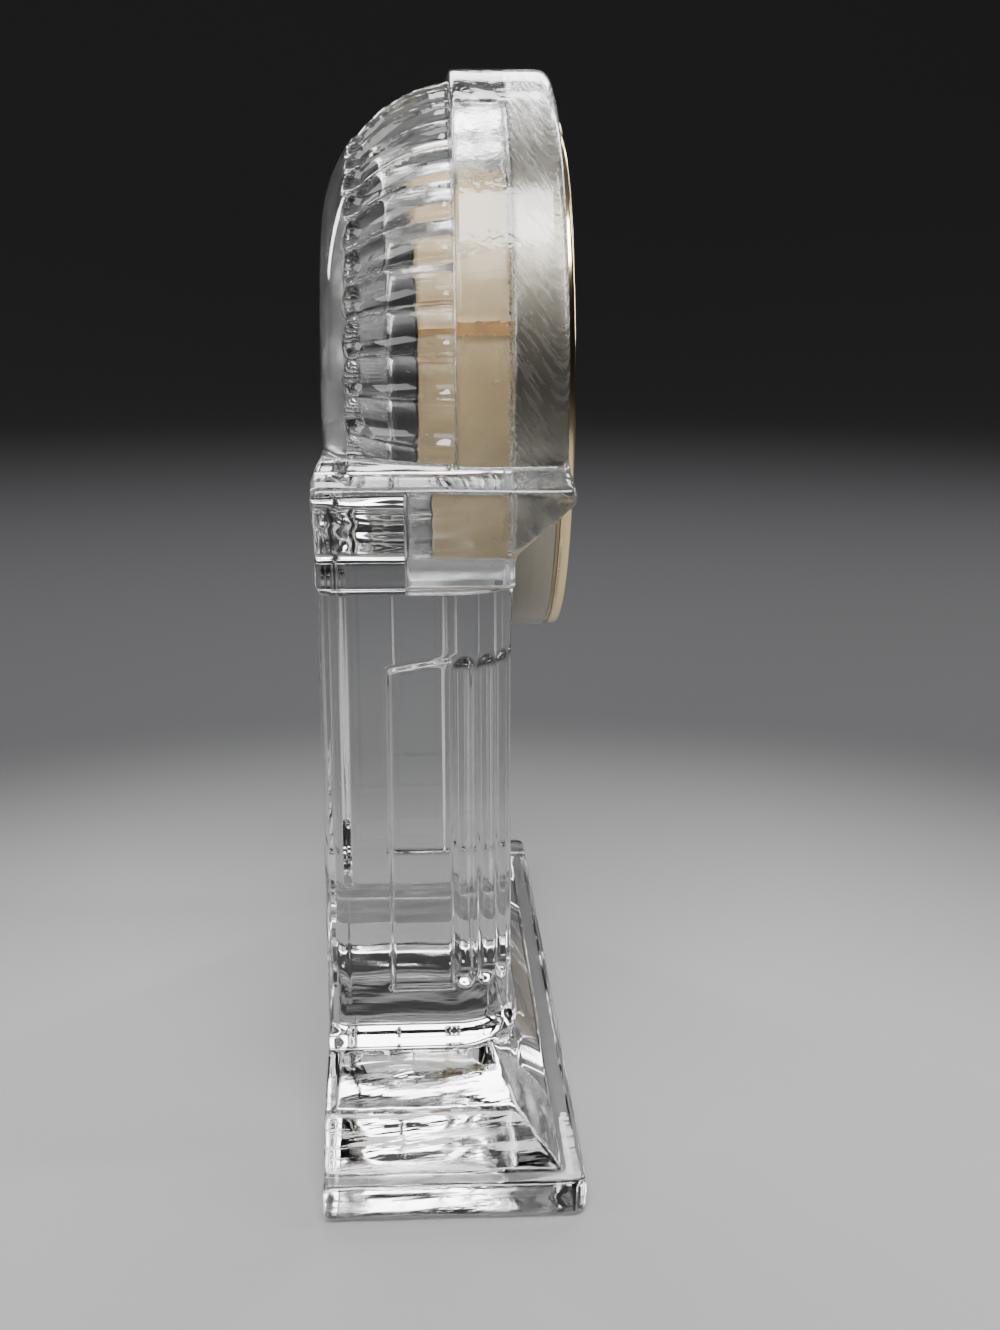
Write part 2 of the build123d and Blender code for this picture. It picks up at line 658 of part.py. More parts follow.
def make_plate():
    """Make the main plate with its pillars, dial posts, minute stud and bearing holes."""
    plate = disc(cup_bore - SEAT, plate_back, plate_front)
    for spot in PILLAR_SPOTS:
        plate += disc(PILLAR_RADIUS, bridge_front, plate_back, spot)
        plate -= disc(SCREW_RADIUS + SEAT, bridge_front, bridge_front + SCREW_LENGTH, spot)
    for angle in DIAL_POST_ANGLES:
        plate += disc(DIAL_POST_RADIUS, plate_front, dial_back, polar(DIAL_POST_CIRCLE, angle))
    plate += disc(ARBOR_RADIUS, plate_front, dial_back - SEAT, minute_at)
    for spot in (third_at, intermediate_at, rotor_at):
        plate -= disc(PIVOT_RADIUS + RUN, plate_back, plate_front, spot)
    plate -= disc(tube_radius + RUN, plate_back, plate_front)
    plate -= disc(SETTING_ARBOR + RUN, plate_back, plate_front, setting_at)
    window = Pos(0, COIL_OFFSET, plate_front) * Box(COIL_LENGTH + 2 * FREE, 2 * COIL_RADIUS + 2 * FREE,
                                                    4 * PLATE_THICKNESS)
    return plate - window


def make_bridge():
    """Make the rear plate that carries the back pivots of the train."""
    rims = []
    for spot in PILLAR_SPOTS + (rotor_at,):
        rims += (Pos(*spot) * Circle(2 * PILLAR_RADIUS)).edges()
    outline = make_hull(rims)
    bridge = extrude(Plane.XY.offset(bridge_back) * outline, BRIDGE_THICKNESS)
    for spot in PILLAR_SPOTS:
        bridge -= disc(SCREW_RADIUS + SEAT, bridge_back, bridge_front, spot)
    for spot in (third_at, intermediate_at, rotor_at, (0, 0)):
        bridge -= disc(PIVOT_RADIUS + RUN, bridge_back, bridge_front, spot)
    return bridge - disc(CELL_RADIUS + CELL_CLEARANCE, bridge_back, bridge_front, cell_at)


def make_board():
    """Make the circuit board behind the bridge, cut away round the cell, the screws and the arbor."""
    board = disc(BOARD_RADIUS, board_back, bridge_back)
    above = Box(3 * BOARD_RADIUS, 2 * BOARD_RADIUS, 4 * BOARD_THICKNESS)
    board -= Pos(0, BOARD_TOP + BOARD_RADIUS, bridge_back) * above
    for spot in PILLAR_SPOTS:
        board -= disc(SCREW_HEAD_RADIUS + FREE, board_back, bridge_back, spot)
    for spot in (third_at, intermediate_at, rotor_at, (0, 0)):
        board -= disc(ARBOR_RADIUS + FREE, board_back, bridge_back, spot)
    board -= disc(SETTING_ARBOR + FREE, board_back, bridge_back, setting_at)
    return board - disc(CELL_RADIUS + CELL_CLEARANCE, board_back, bridge_back, cell_at)


def make_screws():
    """Make the screws that hold the bridge on the pillars."""
    screws = Part()
    for spot in PILLAR_SPOTS:
        screws += disc(SCREW_RADIUS, bridge_back, bridge_front + SCREW_LENGTH - SEAT, spot)
        screws += disc(SCREW_HEAD_RADIUS, bridge_back - SCREW_HEAD_HEIGHT, bridge_back, spot)
    return screws


core_level = plate_back - STATOR_THICKNESS - CORE_THICKNESS / 2
core_half = CORE_LENGTH / 2
core_middle = (0.0, COIL_OFFSET)


def make_stator():
    """Make the stator, a bent plate on the main plate that leads from the coil round the rotor."""
    arm = CORE_WIDTH
    eye = MAGNET_RADIUS + STATOR_GAP
    left = -core_half
    right = core_half
    path = Polyline((left + arm / 2, COIL_OFFSET), (left + arm / 2, rotor_at[1] + eye + arm),
                    (rotor_at[0] - eye, rotor_at[1] + eye), (rotor_at[0] + eye, rotor_at[1]),
                    (right - arm / 2, COIL_OFFSET))
    outline = trace(path, arm) + Pos(*rotor_at) * Circle(eye + arm / 2)
    outline -= Pos(*rotor_at) * Circle(eye)
    return extrude(Plane.XY.offset(plate_back - STATOR_THICKNESS) * outline, STATOR_THICKNESS)


def make_core():
    """Make the flat core that runs through the coil and bridges the stator's ends."""
    return Pos(core_middle[0], core_middle[1], core_level) * Box(CORE_LENGTH, CORE_WIDTH, CORE_THICKNESS)


def make_coil():
    """Make the wound coil round its core, with a cheek at each end."""
    cheek = CORE_THICKNESS
    winding = Cylinder(COIL_RADIUS - FREE, COIL_LENGTH)
    cheeks = Pos(0, 0, COIL_LENGTH / 2 - cheek / 2) * Cylinder(COIL_RADIUS, cheek)
    cheeks += Pos(0, 0, cheek / 2 - COIL_LENGTH / 2) * Cylinder(COIL_RADIUS, cheek)
    bobbin = Rot(0, 90, 0) * (winding + cheeks)
    bobbin -= Box(2 * COIL_LENGTH, CORE_WIDTH, CORE_THICKNESS)
    return Pos(core_middle[0], core_middle[1], core_level) * bobbin


cell_back = cup_back + DOOR_THICKNESS + SEAT
cell_front = cell_back + CELL_HEIGHT


def make_cell():
    """Make the button cell with its raised, narrower negative face in front."""
    step = CELL_HEIGHT / 6
    can = disc(CELL_RADIUS, cell_back, cell_front - step)
    cap = disc(CELL_RADIUS - step, cell_front - step, cell_front)
    return Pos(*cell_at) * (can + cap)


def strip(points):
    """Make a bent contact strip from its centre line of sideways and level points."""
    flat = trace(Polyline(*points), CONTACT_THICKNESS)
    return extrude(Plane.XZ * flat, CONTACT_WIDTH / 2, both=True)


def make_negative_contact():
    """Make the spring strip between the main plate and the front of the cell."""
    half = CONTACT_THICKNESS / 2
    reach = CELL_RADIUS / 2
    top = plate_back - half
    low = cell_front + half
    bent = strip([(-reach, top), (reach, top), (reach, low), (-reach, low)])
    return Pos(*cell_at) * bent


def make_positive_contact():
    """Make the strip that stands on the board and lies along the side of the cell."""
    half = CONTACT_THICKNESS / 2
    side = CELL_RADIUS + half + SEAT
    foot = CELL_RADIUS + CELL_CLEARANCE + CONTACT_WIDTH
    bent = strip([(foot, board_back - half), (side, board_back - half), (side, floor_front + FREE)])
    return Pos(*cell_at) * bent


def make_quartz():
    """Make the crystal's can, which lies on the back of the board."""
    can = Rot(0, 90, 0) * Cylinder(QUARTZ_RADIUS, QUARTZ_LENGTH)
    can = fillet(can.edges(), QUARTZ_ROUND)
    return Pos(QUARTZ_AT[0], QUARTZ_AT[1], board_back - QUARTZ_RADIUS) * can


hour_hand, minute_hand, second_hand = make_hands()
insert = {
    "bezel": make_bezel(),
    "lens": make_lens(),
    "dial_ring": ring(stack_radius, stack_radius - DIAL_RING_WALL, dial_front, lens_back),
    "dial": ring(stack_radius, hour_radius + SEAT, dial_back, dial_front),
    "movement_cup": make_cup(),
    "grip_band": make_grip(),
    "cell_cover": make_door(),
    "button_cell": make_cell(),
    "negative_contact": make_negative_contact(),
    "positive_contact": make_positive_contact(),
    "main_plate": make_plate(),
    "train_bridge": make_bridge(),
    "bridge_screws": make_screws(),
    "circuit_board": make_board(),
    "quartz_can": make_quartz(),
    "stator": make_stator(),
    "coil_core": make_core(),
    "coil": make_coil(),
    "rotor": make_rotor(),
    "intermediate_wheel": make_intermediate(),
    "fourth_wheel": make_fourth(),
    "third_wheel": make_third(),
    "centre_wheel": make_centre(),
    "cannon_pinion": make_cannon(),
    "minute_wheel": make_minute_wheel(),
    "hour_wheel": make_hour_wheel(),
    "setting_arbor": make_setting_arbor(),
    "setting_knob": make_setting_knob(),
    "hour_hand": hour_hand,
    "minute_hand": minute_hand,
    "second_hand": second_hand,
}

os.makedirs("parts", exist_ok=True)
export_step(make_case(), "parts/crystal_case.step")
for name, shape in insert.items():
    export_step(seated(shape), f"parts/{name}.step")
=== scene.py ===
import itertools
import json
import math

import bpy
import numpy as np
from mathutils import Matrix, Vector


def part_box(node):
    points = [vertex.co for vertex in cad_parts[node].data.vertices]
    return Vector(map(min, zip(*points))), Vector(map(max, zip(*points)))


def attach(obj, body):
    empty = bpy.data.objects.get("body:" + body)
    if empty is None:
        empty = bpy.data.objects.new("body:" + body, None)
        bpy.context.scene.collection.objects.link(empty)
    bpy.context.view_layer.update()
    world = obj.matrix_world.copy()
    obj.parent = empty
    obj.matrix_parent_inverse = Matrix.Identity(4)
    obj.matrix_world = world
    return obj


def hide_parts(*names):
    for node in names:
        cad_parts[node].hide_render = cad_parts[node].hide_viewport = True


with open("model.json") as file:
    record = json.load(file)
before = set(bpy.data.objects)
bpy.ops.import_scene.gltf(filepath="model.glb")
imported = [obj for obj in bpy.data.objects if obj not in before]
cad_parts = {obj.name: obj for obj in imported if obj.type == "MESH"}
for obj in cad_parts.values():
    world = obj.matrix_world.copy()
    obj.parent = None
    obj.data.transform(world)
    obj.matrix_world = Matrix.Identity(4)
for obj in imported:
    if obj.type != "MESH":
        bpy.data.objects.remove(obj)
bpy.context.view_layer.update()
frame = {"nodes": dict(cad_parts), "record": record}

# Millimetres are the unit of every shape here, and metres of every Blender object
MM = 0.001


def box_mm(node):
    """Give a CAD node's lowest and highest corners in millimetres."""
    low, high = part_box(node)
    return np.array(low) / MM, np.array(high) / MM


# Places and sizes that come from the frame
case_low, case_high = box_mm("crystal_case")
bezel_low, bezel_high = box_mm("bezel")
band_low, band_high = box_mm("grip_band")
lens_low, lens_high = box_mm("lens")
dial_low, dial_high = box_mm("dial")
rehaut_low, rehaut_high = box_mm("dial_ring")

BACK = case_high[1]
FRONT = case_low[1]
BASE_HALF = case_high[0]
HEAD_HEIGHT = (bezel_low[2] + bezel_high[2]) / 2
HEAD_RADIUS = case_high[2] - HEAD_HEIGHT
SEAT = bezel_high[1]
BEZEL_RADIUS = bezel_high[0]
BAND_RADIUS = band_high[2] - HEAD_HEIGHT

# Sizes of the casting
BAND_HEIGHT = 5.0
BAND_CORNER = 2.0
LEDGE = 2.2
LEDGE_DROP = 0.8
SLOPE_RUN = 6.0
SLOPE_TOP = 10.8
SHELF_TOP = 13.8
BODY_HALF = 40.5
COLUMN_RADIUS = 8.0
BACK_BEVEL = 2.0
FOOT_PROUD = 0.9
FOOT_LOW = 12.7
FOOT_HIGH = 16.0
SHAFT_LOW = 21.8
SHAFT_HIGH = 66.8
COLUMN_FLUTES = 4
COLUMN_FLUTE_RADIUS = 1.65
COLUMN_FLUTE_DEPTH = 0.9
FLUTE_TAPER = 1.2
PANEL_WIDTH = 8.2
PANEL_PROUD = 0.8
PANEL_SLANT = 1.4
NECK_PROUD = 1.5
NECK_LOW = 75.8
COVE_LOW = 79.8
COVE_PROUD = 6.0
CORNICE_LOW = 87.3
CORNICE_EDGE = 89.2
CORNICE_TOP = 90.8
CORNICE_WEATHER = 4.0
CORNICE_FRONT = -15.6
HOOD_FRONT = -15.2
HOOD_EDGE = 1.1
DRUM_BACK = -1.1
DOME_RADIUS = 40.4
DOME_BEND = 20.2
DOME_FLUTES = 44
DOME_FLUTE_RADIUS = 3.2
DOME_FLUTE_DEPTH = 1.4
DOME_FLUTE_TURN = 47.0
RECESS_RADIUS = 37.3
SOCKET_CLEARANCE = 0.1
SOCKET_FLOOR = 5.3

# Softness of the pressed glass: melted edges, filled corners and slight waves
EDGE = 0.8
CORNER = 0.9
CRISP = 0.45
FLUTE_EDGE = 0.3
WAVE = 0.015
RIPPLE = 0.08
SKIN = 0.1
GRID = 0.45


def smooth_max(a, b, width):
    """Give the larger of two distances, rounded where they meet."""
    overlap = np.maximum(width - np.abs(a - b), 0.0) / width
    return np.maximum(a, b) + overlap * overlap * width / 4


def smooth_min(a, b, width):
    """Give the smaller of two distances, rounded where they meet."""
    return -smooth_max(-a, -b, width)


def plan(x, y, half, front, corner):
    """Distance to an upright block of this half width and front, with rounded front corners."""
    side = x - (half - corner)
    ahead = (front + corner) - y
    outside = np.hypot(np.maximum(side, 0), np.maximum(ahead, 0))
    return outside + np.minimum(np.maximum(side, ahead), 0) - corner


def between(value, low, high):
    """Distance to the slab between two levels."""
    return np.maximum(low - value, value - high)


def leaning(out, z, start, end):
    """Distance to a sloping face that runs from one (out, level) point up to another."""
    run = end[0] - start[0]
    rise = end[1] - start[1]
    return ((out - start[0]) * rise - (z - start[1]) * run) / math.hypot(run, rise)


def base_form(x, y, z):
    """Distance to the plain band, the sloping moulding and the low shelf."""
    band = smooth_max(plan(x, y, BASE_HALF, FRONT, BAND_CORNER), z - BAND_HEIGHT, EDGE)
    foot = BAND_HEIGHT - LEDGE_DROP
    slope_end = (BASE_HALF - LEDGE - SLOPE_RUN, SLOPE_TOP)
    side = leaning(x, z, (BASE_HALF - LEDGE, foot), slope_end)
    ahead = leaning(-y, z, (-FRONT - LEDGE, foot), (-FRONT - LEDGE - SLOPE_RUN, SLOPE_TOP))
    shelf = leaning(x, z, slope_end, (BODY_HALF + FOOT_PROUD, SHELF_TOP))
    moulding = smooth_max(smooth_max(side, ahead, CRISP), shelf, CRISP)
    moulding = np.maximum(moulding, between(z, foot, SHELF_TOP + FOOT_PROUD))
    return smooth_min(band, moulding, CRISP)


def column_cuts(x, y, z):
    """Distance to the upright flutes round the front corners of the body."""
    reach = COLUMN_RADIUS + COLUMN_FLUTE_RADIUS - COLUMN_FLUTE_DEPTH
    low = SHAFT_LOW + FLUTE_TAPER * COLUMN_FLUTE_RADIUS
    high = SHAFT_HIGH - FLUTE_TAPER * COLUMN_FLUTE_RADIUS
    above = (z - np.clip(z, low, high)) / FLUTE_TAPER
    nearest = np.full_like(x, np.inf)
    for index in range(COLUMN_FLUTES):
        turn = math.radians(90.0 * (index + 0.5) / COLUMN_FLUTES)
        across = x - (BODY_HALF - COLUMN_RADIUS + reach * math.cos(turn))
        along = y - (SEAT + COLUMN_RADIUS - reach * math.sin(turn))
        nearest = np.minimum(nearest, np.sqrt(across**2 + along**2 + above**2))
    return nearest - COLUMN_FLUTE_RADIUS


def body_form(x, y, z):
    """Distance to the body with its panels, its foot bead and its neck."""
    body = plan(x, y, BODY_HALF, SEAT, COLUMN_RADIUS)
    bevel = (x - BODY_HALF + y - BACK + BACK_BEVEL) / math.sqrt(2)
    body = smooth_max(body, bevel, CRISP)
    body = np.maximum(body, between(z, BAND_HEIGHT, CORNICE_LOW))
    panel_start = SEAT + COLUMN_RADIUS
    panel_top = SHAFT_HIGH - PANEL_SLANT * np.clip((y - panel_start) / PANEL_WIDTH, 0, 1)
    panel = smooth_max(between(y, panel_start, panel_start + PANEL_WIDTH),
                       between(z, SHAFT_LOW, panel_top), CRISP)
    panel = smooth_max(panel, x - BODY_HALF - PANEL_PROUD, CRISP)
    panel = np.maximum(panel, BODY_HALF - COLUMN_RADIUS - x)
    body = smooth_min(body, panel, CRISP)
    body = smooth_max(body, -column_cuts(x, y, z), CRISP)
    foot = plan(x, y, BODY_HALF + FOOT_PROUD, SEAT - FOOT_PROUD, COLUMN_RADIUS + FOOT_PROUD)
    foot = smooth_max(foot, between(z, FOOT_LOW, FOOT_HIGH), 2 * EDGE)
    neck = plan(x, y, BODY_HALF + NECK_PROUD, SEAT, EDGE)
    neck = smooth_max(neck, between(z, NECK_LOW, CORNICE_LOW), CRISP)
    return smooth_min(smooth_min(body, foot, CORNER), neck, CORNER)


def cornice_form(x, y, z):
    """Distance to the flared cove, the square edge and the weathered top."""
    neck = BODY_HALF + NECK_PROUD
    edge = neck + COVE_PROUD
    side = leaning(x, z, (neck, COVE_LOW), (edge, CORNICE_LOW))
    ahead = leaning(-y, z, (-SEAT, COVE_LOW), (-CORNICE_FRONT, CORNICE_LOW))
    under = smooth_max(side, ahead, EDGE)
    rim = plan(x, y, edge, CORNICE_FRONT, EDGE)
    side = leaning(x, z, (edge, CORNICE_EDGE), (edge - CORNICE_WEATHER, CORNICE_TOP))
    ahead = leaning(-y, z, (-CORNICE_FRONT, CORNICE_EDGE), (-HOOD_FRONT, CORNICE_TOP))
    over = smooth_max(smooth_max(side, ahead, EDGE), z - CORNICE_TOP, EDGE)
    cornice = smooth_max(smooth_max(under, rim, EDGE), over, EDGE)
    return np.maximum(cornice, NECK_LOW - z)


def dome_cuts(x, y, up):
    """Distance to the flutes that fan out over the back of the head."""
    pitch = 2 * math.pi / DOME_FLUTES
    angle = np.arctan2(up, x)
    aside = angle - (np.floor(angle / pitch) + 0.5) * pitch
    reach = np.hypot(x, up)
    out = reach * np.cos(aside) - (DOME_RADIUS - DOME_BEND)
    across = reach * np.sin(aside)
    along = y - (BACK - DOME_BEND)
    line = DOME_BEND + DOME_FLUTE_RADIUS - DOME_FLUTE_DEPTH
    turn = np.clip(np.arctan2(along, out), -math.pi / 8, math.radians(DOME_FLUTE_TURN))
    out = out - line * np.cos(turn)
    along = along - line * np.sin(turn)
    tube = np.sqrt(out**2 + along**2 + across**2) - DOME_FLUTE_RADIUS
    return np.maximum(tube, DRUM_BACK - y)


def head_form(x, y, z):
    """Distance to the drum with its hood, and the fluted dome behind it."""
    up = z - HEAD_HEIGHT
    reach = np.hypot(x, up)
    drum = smooth_max(reach - HEAD_RADIUS, HOOD_FRONT - y, 2 * HOOD_EDGE)
    drum = smooth_max(drum, y - DRUM_BACK, EDGE)
    drum = np.maximum(drum, -np.maximum(y - SEAT, z - CORNICE_LOW))
    out = reach - (DOME_RADIUS - DOME_BEND)
    along = y - (BACK - DOME_BEND)
    dome = np.hypot(np.maximum(out, 0), np.maximum(along, 0)) - DOME_BEND
    dome = dome + np.minimum(np.maximum(out, along), 0)
    dome = np.maximum(dome, DRUM_BACK - EDGE - y)
    dome = smooth_max(dome, -dome_cuts(x, y, up), FLUTE_EDGE)
    return smooth_min(drum, dome, CRISP)


def hollow_form(x, y, z):
    """Distance to the recess for the bezel and the blind socket for the cup."""
    reach = np.hypot(x, z - HEAD_HEIGHT)
    recess = np.maximum(reach - RECESS_RADIUS, y - SEAT)
    socket = smooth_max(reach - BAND_RADIUS - SOCKET_CLEARANCE, y - SOCKET_FLOOR, EDGE)
    return np.minimum(recess, socket)


def waves(x, y, z):
    """Give the slight waves of a pressed surface, and the finer ripples on the sides of the base."""
    # The lengths share no common measure, so the waves don't repeat
    slow = np.sin(x / 4.9 + 1.3) * np.sin(y / 3.7 + z / 6.1)
    slow = slow + np.sin(z / 5.3 - x / 9.1) * np.sin(y / 4.4 + 0.7)
    fine = np.sin(z * 2.3 + 0.9 * np.sin(y / 4.1)) * np.sin(y / 5.7 + 0.5)
    edge = np.clip((x - BODY_HALF - FOOT_PROUD) / COLUMN_RADIUS, 0, 1)
    return WAVE / 2 * slow + RIPPLE * fine * edge


def crystal_form(points):
    """Distance to the whole casting at an array of points."""
    x = np.abs(points[..., 0])
    y = points[..., 1]
    z = points[..., 2]
    form = smooth_min(base_form(x, y, z), body_form(x, y, z), CORNER)
    form = smooth_min(form, cornice_form(x, y, z), EDGE)
    form = smooth_min(form, head_form(x, y, z), CORNER)
    form = smooth_max(form, -hollow_form(x, y, z), CRISP)
    form = smooth_max(form, y - BACK, EDGE)
    form = smooth_max(form, -z, 2 * EDGE)
    return form + SKIN + waves(x, y, z)


def sample(form, low, high, step):
    """Read a form on a grid round a box, slab by slab; give the field and the grid's first point."""
    middle = (low + high) / 2
    counts = np.ceil((high - low) / step / 2).astype(int) + 2
    lines = [centre + np.arange(-count, count + 1) * step for centre, count in zip(middle, counts)]
    field = np.empty([len(line) for line in lines], np.float32)
    for index, x in enumerate(lines[0]):
        points = np.stack(np.meshgrid([x], lines[1], lines[2], indexing="ij"), axis=-1)
        field[index] = form(points)[0]
    return field, np.array([line[0] for line in lines])


def slopes(form, points, nudge=0.02):
    """Give the direction in which a form grows fastest at each point."""
    result = np.empty_like(points)
    for axis in range(3):
        step = np.eye(3)[axis] * nudge
        result[:, axis] = (form(points + step) - form(points - step)) / (2 * nudge)
    return result / np.maximum(np.linalg.norm(result, axis=1), 0.1)[:, None]


def crossed_cells(inside):
    """Number the grid cells that have corners both inside and outside."""
    shape = np.array(inside.shape) - 1
    count = np.zeros(shape, np.int8)
    for offset in itertools.product((0, 1), repeat=3):
        window = tuple(slice(start, start + size) for start, size in zip(offset, shape))
        count += inside[window]
    crossed = (count > 0) & (count < 8)
    number = np.full(shape, -1, np.int64)
    number[crossed] = np.arange(crossed.sum())
    return number


def gather(cells, values, size):
    """Add up rows of values for each cell, where every row belongs to four cells."""
    total = np.zeros((size, values.shape[1]))
    for corner in range(4):
        for column in range(values.shape[1]):
            total[:, column] += np.bincount(cells[:, corner], values[:, column], size)
    return total


# The six products of a normal's parts, and where each stands in a symmetric matrix
PRODUCTS = ((0, 0), (1, 1), (2, 2), (0, 1), (0, 2), (1, 2))
MATRIX_PLACES = [0, 3, 4, 3, 1, 5, 4, 5, 2]


def mesh_of(form, low, high, step, pull=0.2):
    """Mesh a form: a point for each crossed cell, set where the surfaces through the cell meet."""
    field, first = sample(form, low, high, step)
    inside = field < 0
    number = crossed_cells(inside)
    size = number.max() + 1
    faces = []
    planes = np.zeros((size, 6))
    sums = np.zeros((size, 7))
    for axis in range(3):
        unit = np.eye(3, dtype=int)
        ahead, side, up = unit[axis], unit[(axis + 1) % 3], unit[(axis + 2) % 3]
        near = np.take(inside, range(inside.shape[axis] - 1), axis)
        far = np.take(inside, range(1, inside.shape[axis]), axis)
        spots = np.argwhere(near != far)
        corners = [spots - side - up, spots - up, spots, spots - side]
        cells = np.stack([number[tuple(corner.T)] for corner in corners], axis=1)
        outward = near[tuple(spots.T)]
        faces.append(np.where(outward[:, None], cells, cells[:, ::-1]))
        start = field[tuple(spots.T)]
        share = start / (start - field[tuple((spots + ahead).T)])
        cuts = first + step * (spots + share[:, None] * ahead)
        lean = slopes(form, cuts)
        cuts = cuts - lean * form(cuts)[:, None]
        level = (lean * cuts).sum(axis=1)[:, None]
        squares = np.stack([lean[:, a] * lean[:, b] for a, b in PRODUCTS], axis=1)
        planes += gather(cells, squares, size)
        sums += gather(cells, np.hstack([lean * level, cuts, np.ones((len(cuts), 1))]), size)
    middle = sums[:, 3:6] / sums[:, 6:7]
    matrix = planes[:, MATRIX_PLACES].reshape(-1, 3, 3) + pull * np.eye(3)
    target = sums[:, :3] + pull * middle
    points = np.linalg.solve(matrix, target[:, :, None])[:, :, 0]
    points = middle + np.clip(points - middle, -step / 2, step / 2)
    return points, np.concatenate(faces)


def piece(name, points, faces, material, body, slot, nodes=(), smooth=True):
    """Make a mesh object from millimetre points, tie it to its body, and hide the CAD nodes it stands for."""
    mesh = bpy.data.meshes.new(name)
    mesh.from_pydata((np.asarray(points) * MM).tolist(), [], [tuple(face) for face in faces])
    mesh.polygons.foreach_set("use_smooth", [smooth] * len(mesh.polygons))
    mesh.materials.append(material)
    mesh.validate()
    mesh.update()
    result = bpy.data.objects.new(name, mesh)
    bpy.context.scene.collection.objects.link(result)
    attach(result, body)
    if nodes:
        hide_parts(*nodes)
    return result


# Every material by its name
materials = {}


def new_material(name):
    """Make and keep a node material; give it with its nodes, its links and its shader."""
    material = bpy.data.materials.new(name)
    materials[name] = material
    material.use_nodes = True
    nodes = material.node_tree.nodes
    return material, nodes, material.node_tree.links, nodes["Principled BSDF"]


def node(nodes, kind, **values):
    """Add a node, with its settings and its input values."""
    result = nodes.new(kind)
    for key, value in values.items():
        if hasattr(result, key):
            setattr(result, key, value)
        else:
            result.inputs[key.replace("_", " ").title()].default_value = value
    return result


def glass_material(name, ior, colour, clear=0.0, hazy=0.05, streaks=(60.0, 60.0, 60.0),
                   tilt=0.0, relief=0.0, fade=()):
    """Clear glass with uneven haze and, where relief is given, mould streaks that may fade in sideways."""
    material, nodes, links, shader = new_material(name)
    shader.inputs["Base Color"].default_value = (*colour, 1)
    shader.inputs["IOR"].default_value = ior
    shader.inputs["Transmission Weight"].default_value = 1.0
    place = nodes.new("ShaderNodeTexCoord")
    turn = node(nodes, "ShaderNodeMapping")
    turn.inputs["Rotation"].default_value = (math.radians(tilt), 0, 0)
    links.new(place.outputs["Object"], turn.inputs["Vector"])
    stretch = node(nodes, "ShaderNodeMapping")
    stretch.inputs["Scale"].default_value = streaks
    links.new(turn.outputs["Vector"], stretch.inputs["Vector"])
    haze = node(nodes, "ShaderNodeTexNoise", scale=1.0, detail=3.0)
    links.new(stretch.outputs["Vector"], haze.inputs["Vector"])
    rough = nodes.new("ShaderNodeMapRange")
    rough.inputs["From Min"].default_value = 0.45
    rough.inputs["From Max"].default_value = 0.75
    rough.inputs["To Min"].default_value = clear
    rough.inputs["To Max"].default_value = hazy
    links.new(haze.outputs["Fac"], rough.inputs["Value"])
    links.new(rough.outputs["Result"], shader.inputs["Roughness"])
    if relief:
        bump = nodes.new("ShaderNodeBump")
        bump.inputs["Strength"].default_value = 1.0
        bump.inputs["Distance"].default_value = relief * MM
        links.new(haze.outputs["Fac"], bump.inputs["Height"])
        links.new(bump.outputs["Normal"], shader.inputs["Normal"])
    if fade:
        split = nodes.new("ShaderNodeSeparateXYZ")
        links.new(place.outputs["Object"], split.inputs["Vector"])
        aside = node(nodes, "ShaderNodeMath", operation="ABSOLUTE")
        links.new(split.outputs["X"], aside.inputs[0])
        share = nodes.new("ShaderNodeMapRange")
        share.inputs["From Min"].default_value = fade[0] * MM
        share.inputs["From Max"].default_value = fade[1] * MM
        links.new(aside.outputs["Value"], share.inputs["Value"])
        scaled = node(nodes, "ShaderNodeMath", operation="MULTIPLY")
        links.new(rough.outputs["Result"], scaled.inputs[0])
        links.new(share.outputs["Result"], scaled.inputs[1])
        links.new(scaled.outputs["Value"], shader.inputs["Roughness"])
        links.new(share.outputs["Result"], bump.inputs["Strength"])


def metal_material(name, colour, roughness, lines):
    """Satin metal with fine turned lines round the insert's axis."""
    material, nodes, links, shader = new_material(name)
    shader.inputs["Metallic"].default_value = 1.0
    place = nodes.new("ShaderNodeTexCoord")
    stretch = node(nodes, "ShaderNodeMapping")
    stretch.inputs["Scale"].default_value = (lines * 0.02, lines, lines * 0.02)
    links.new(place.outputs["Object"], stretch.inputs["Vector"])
    grain = node(nodes, "ShaderNodeTexNoise", scale=40.0, detail=4.0)
    links.new(stretch.outputs["Vector"], grain.inputs["Vector"])
    ramp = nodes.new("ShaderNodeValToRGB")
    ramp.color_ramp.elements[0].color = (*[part * 0.82 for part in colour], 1)
    ramp.color_ramp.elements[1].color = (*[min(1.0, part * 1.12) for part in colour], 1)
    links.new(grain.outputs["Fac"], ramp.inputs["Fac"])
    links.new(ramp.outputs["Color"], shader.inputs["Base Color"])
    rough = nodes.new("ShaderNodeMapRange")
    rough.inputs["To Min"].default_value = roughness * 0.8
    rough.inputs["To Max"].default_value = roughness * 1.2
    links.new(grain.outputs["Fac"], rough.inputs["Value"])
    links.new(rough.outputs["Result"], shader.inputs["Roughness"])


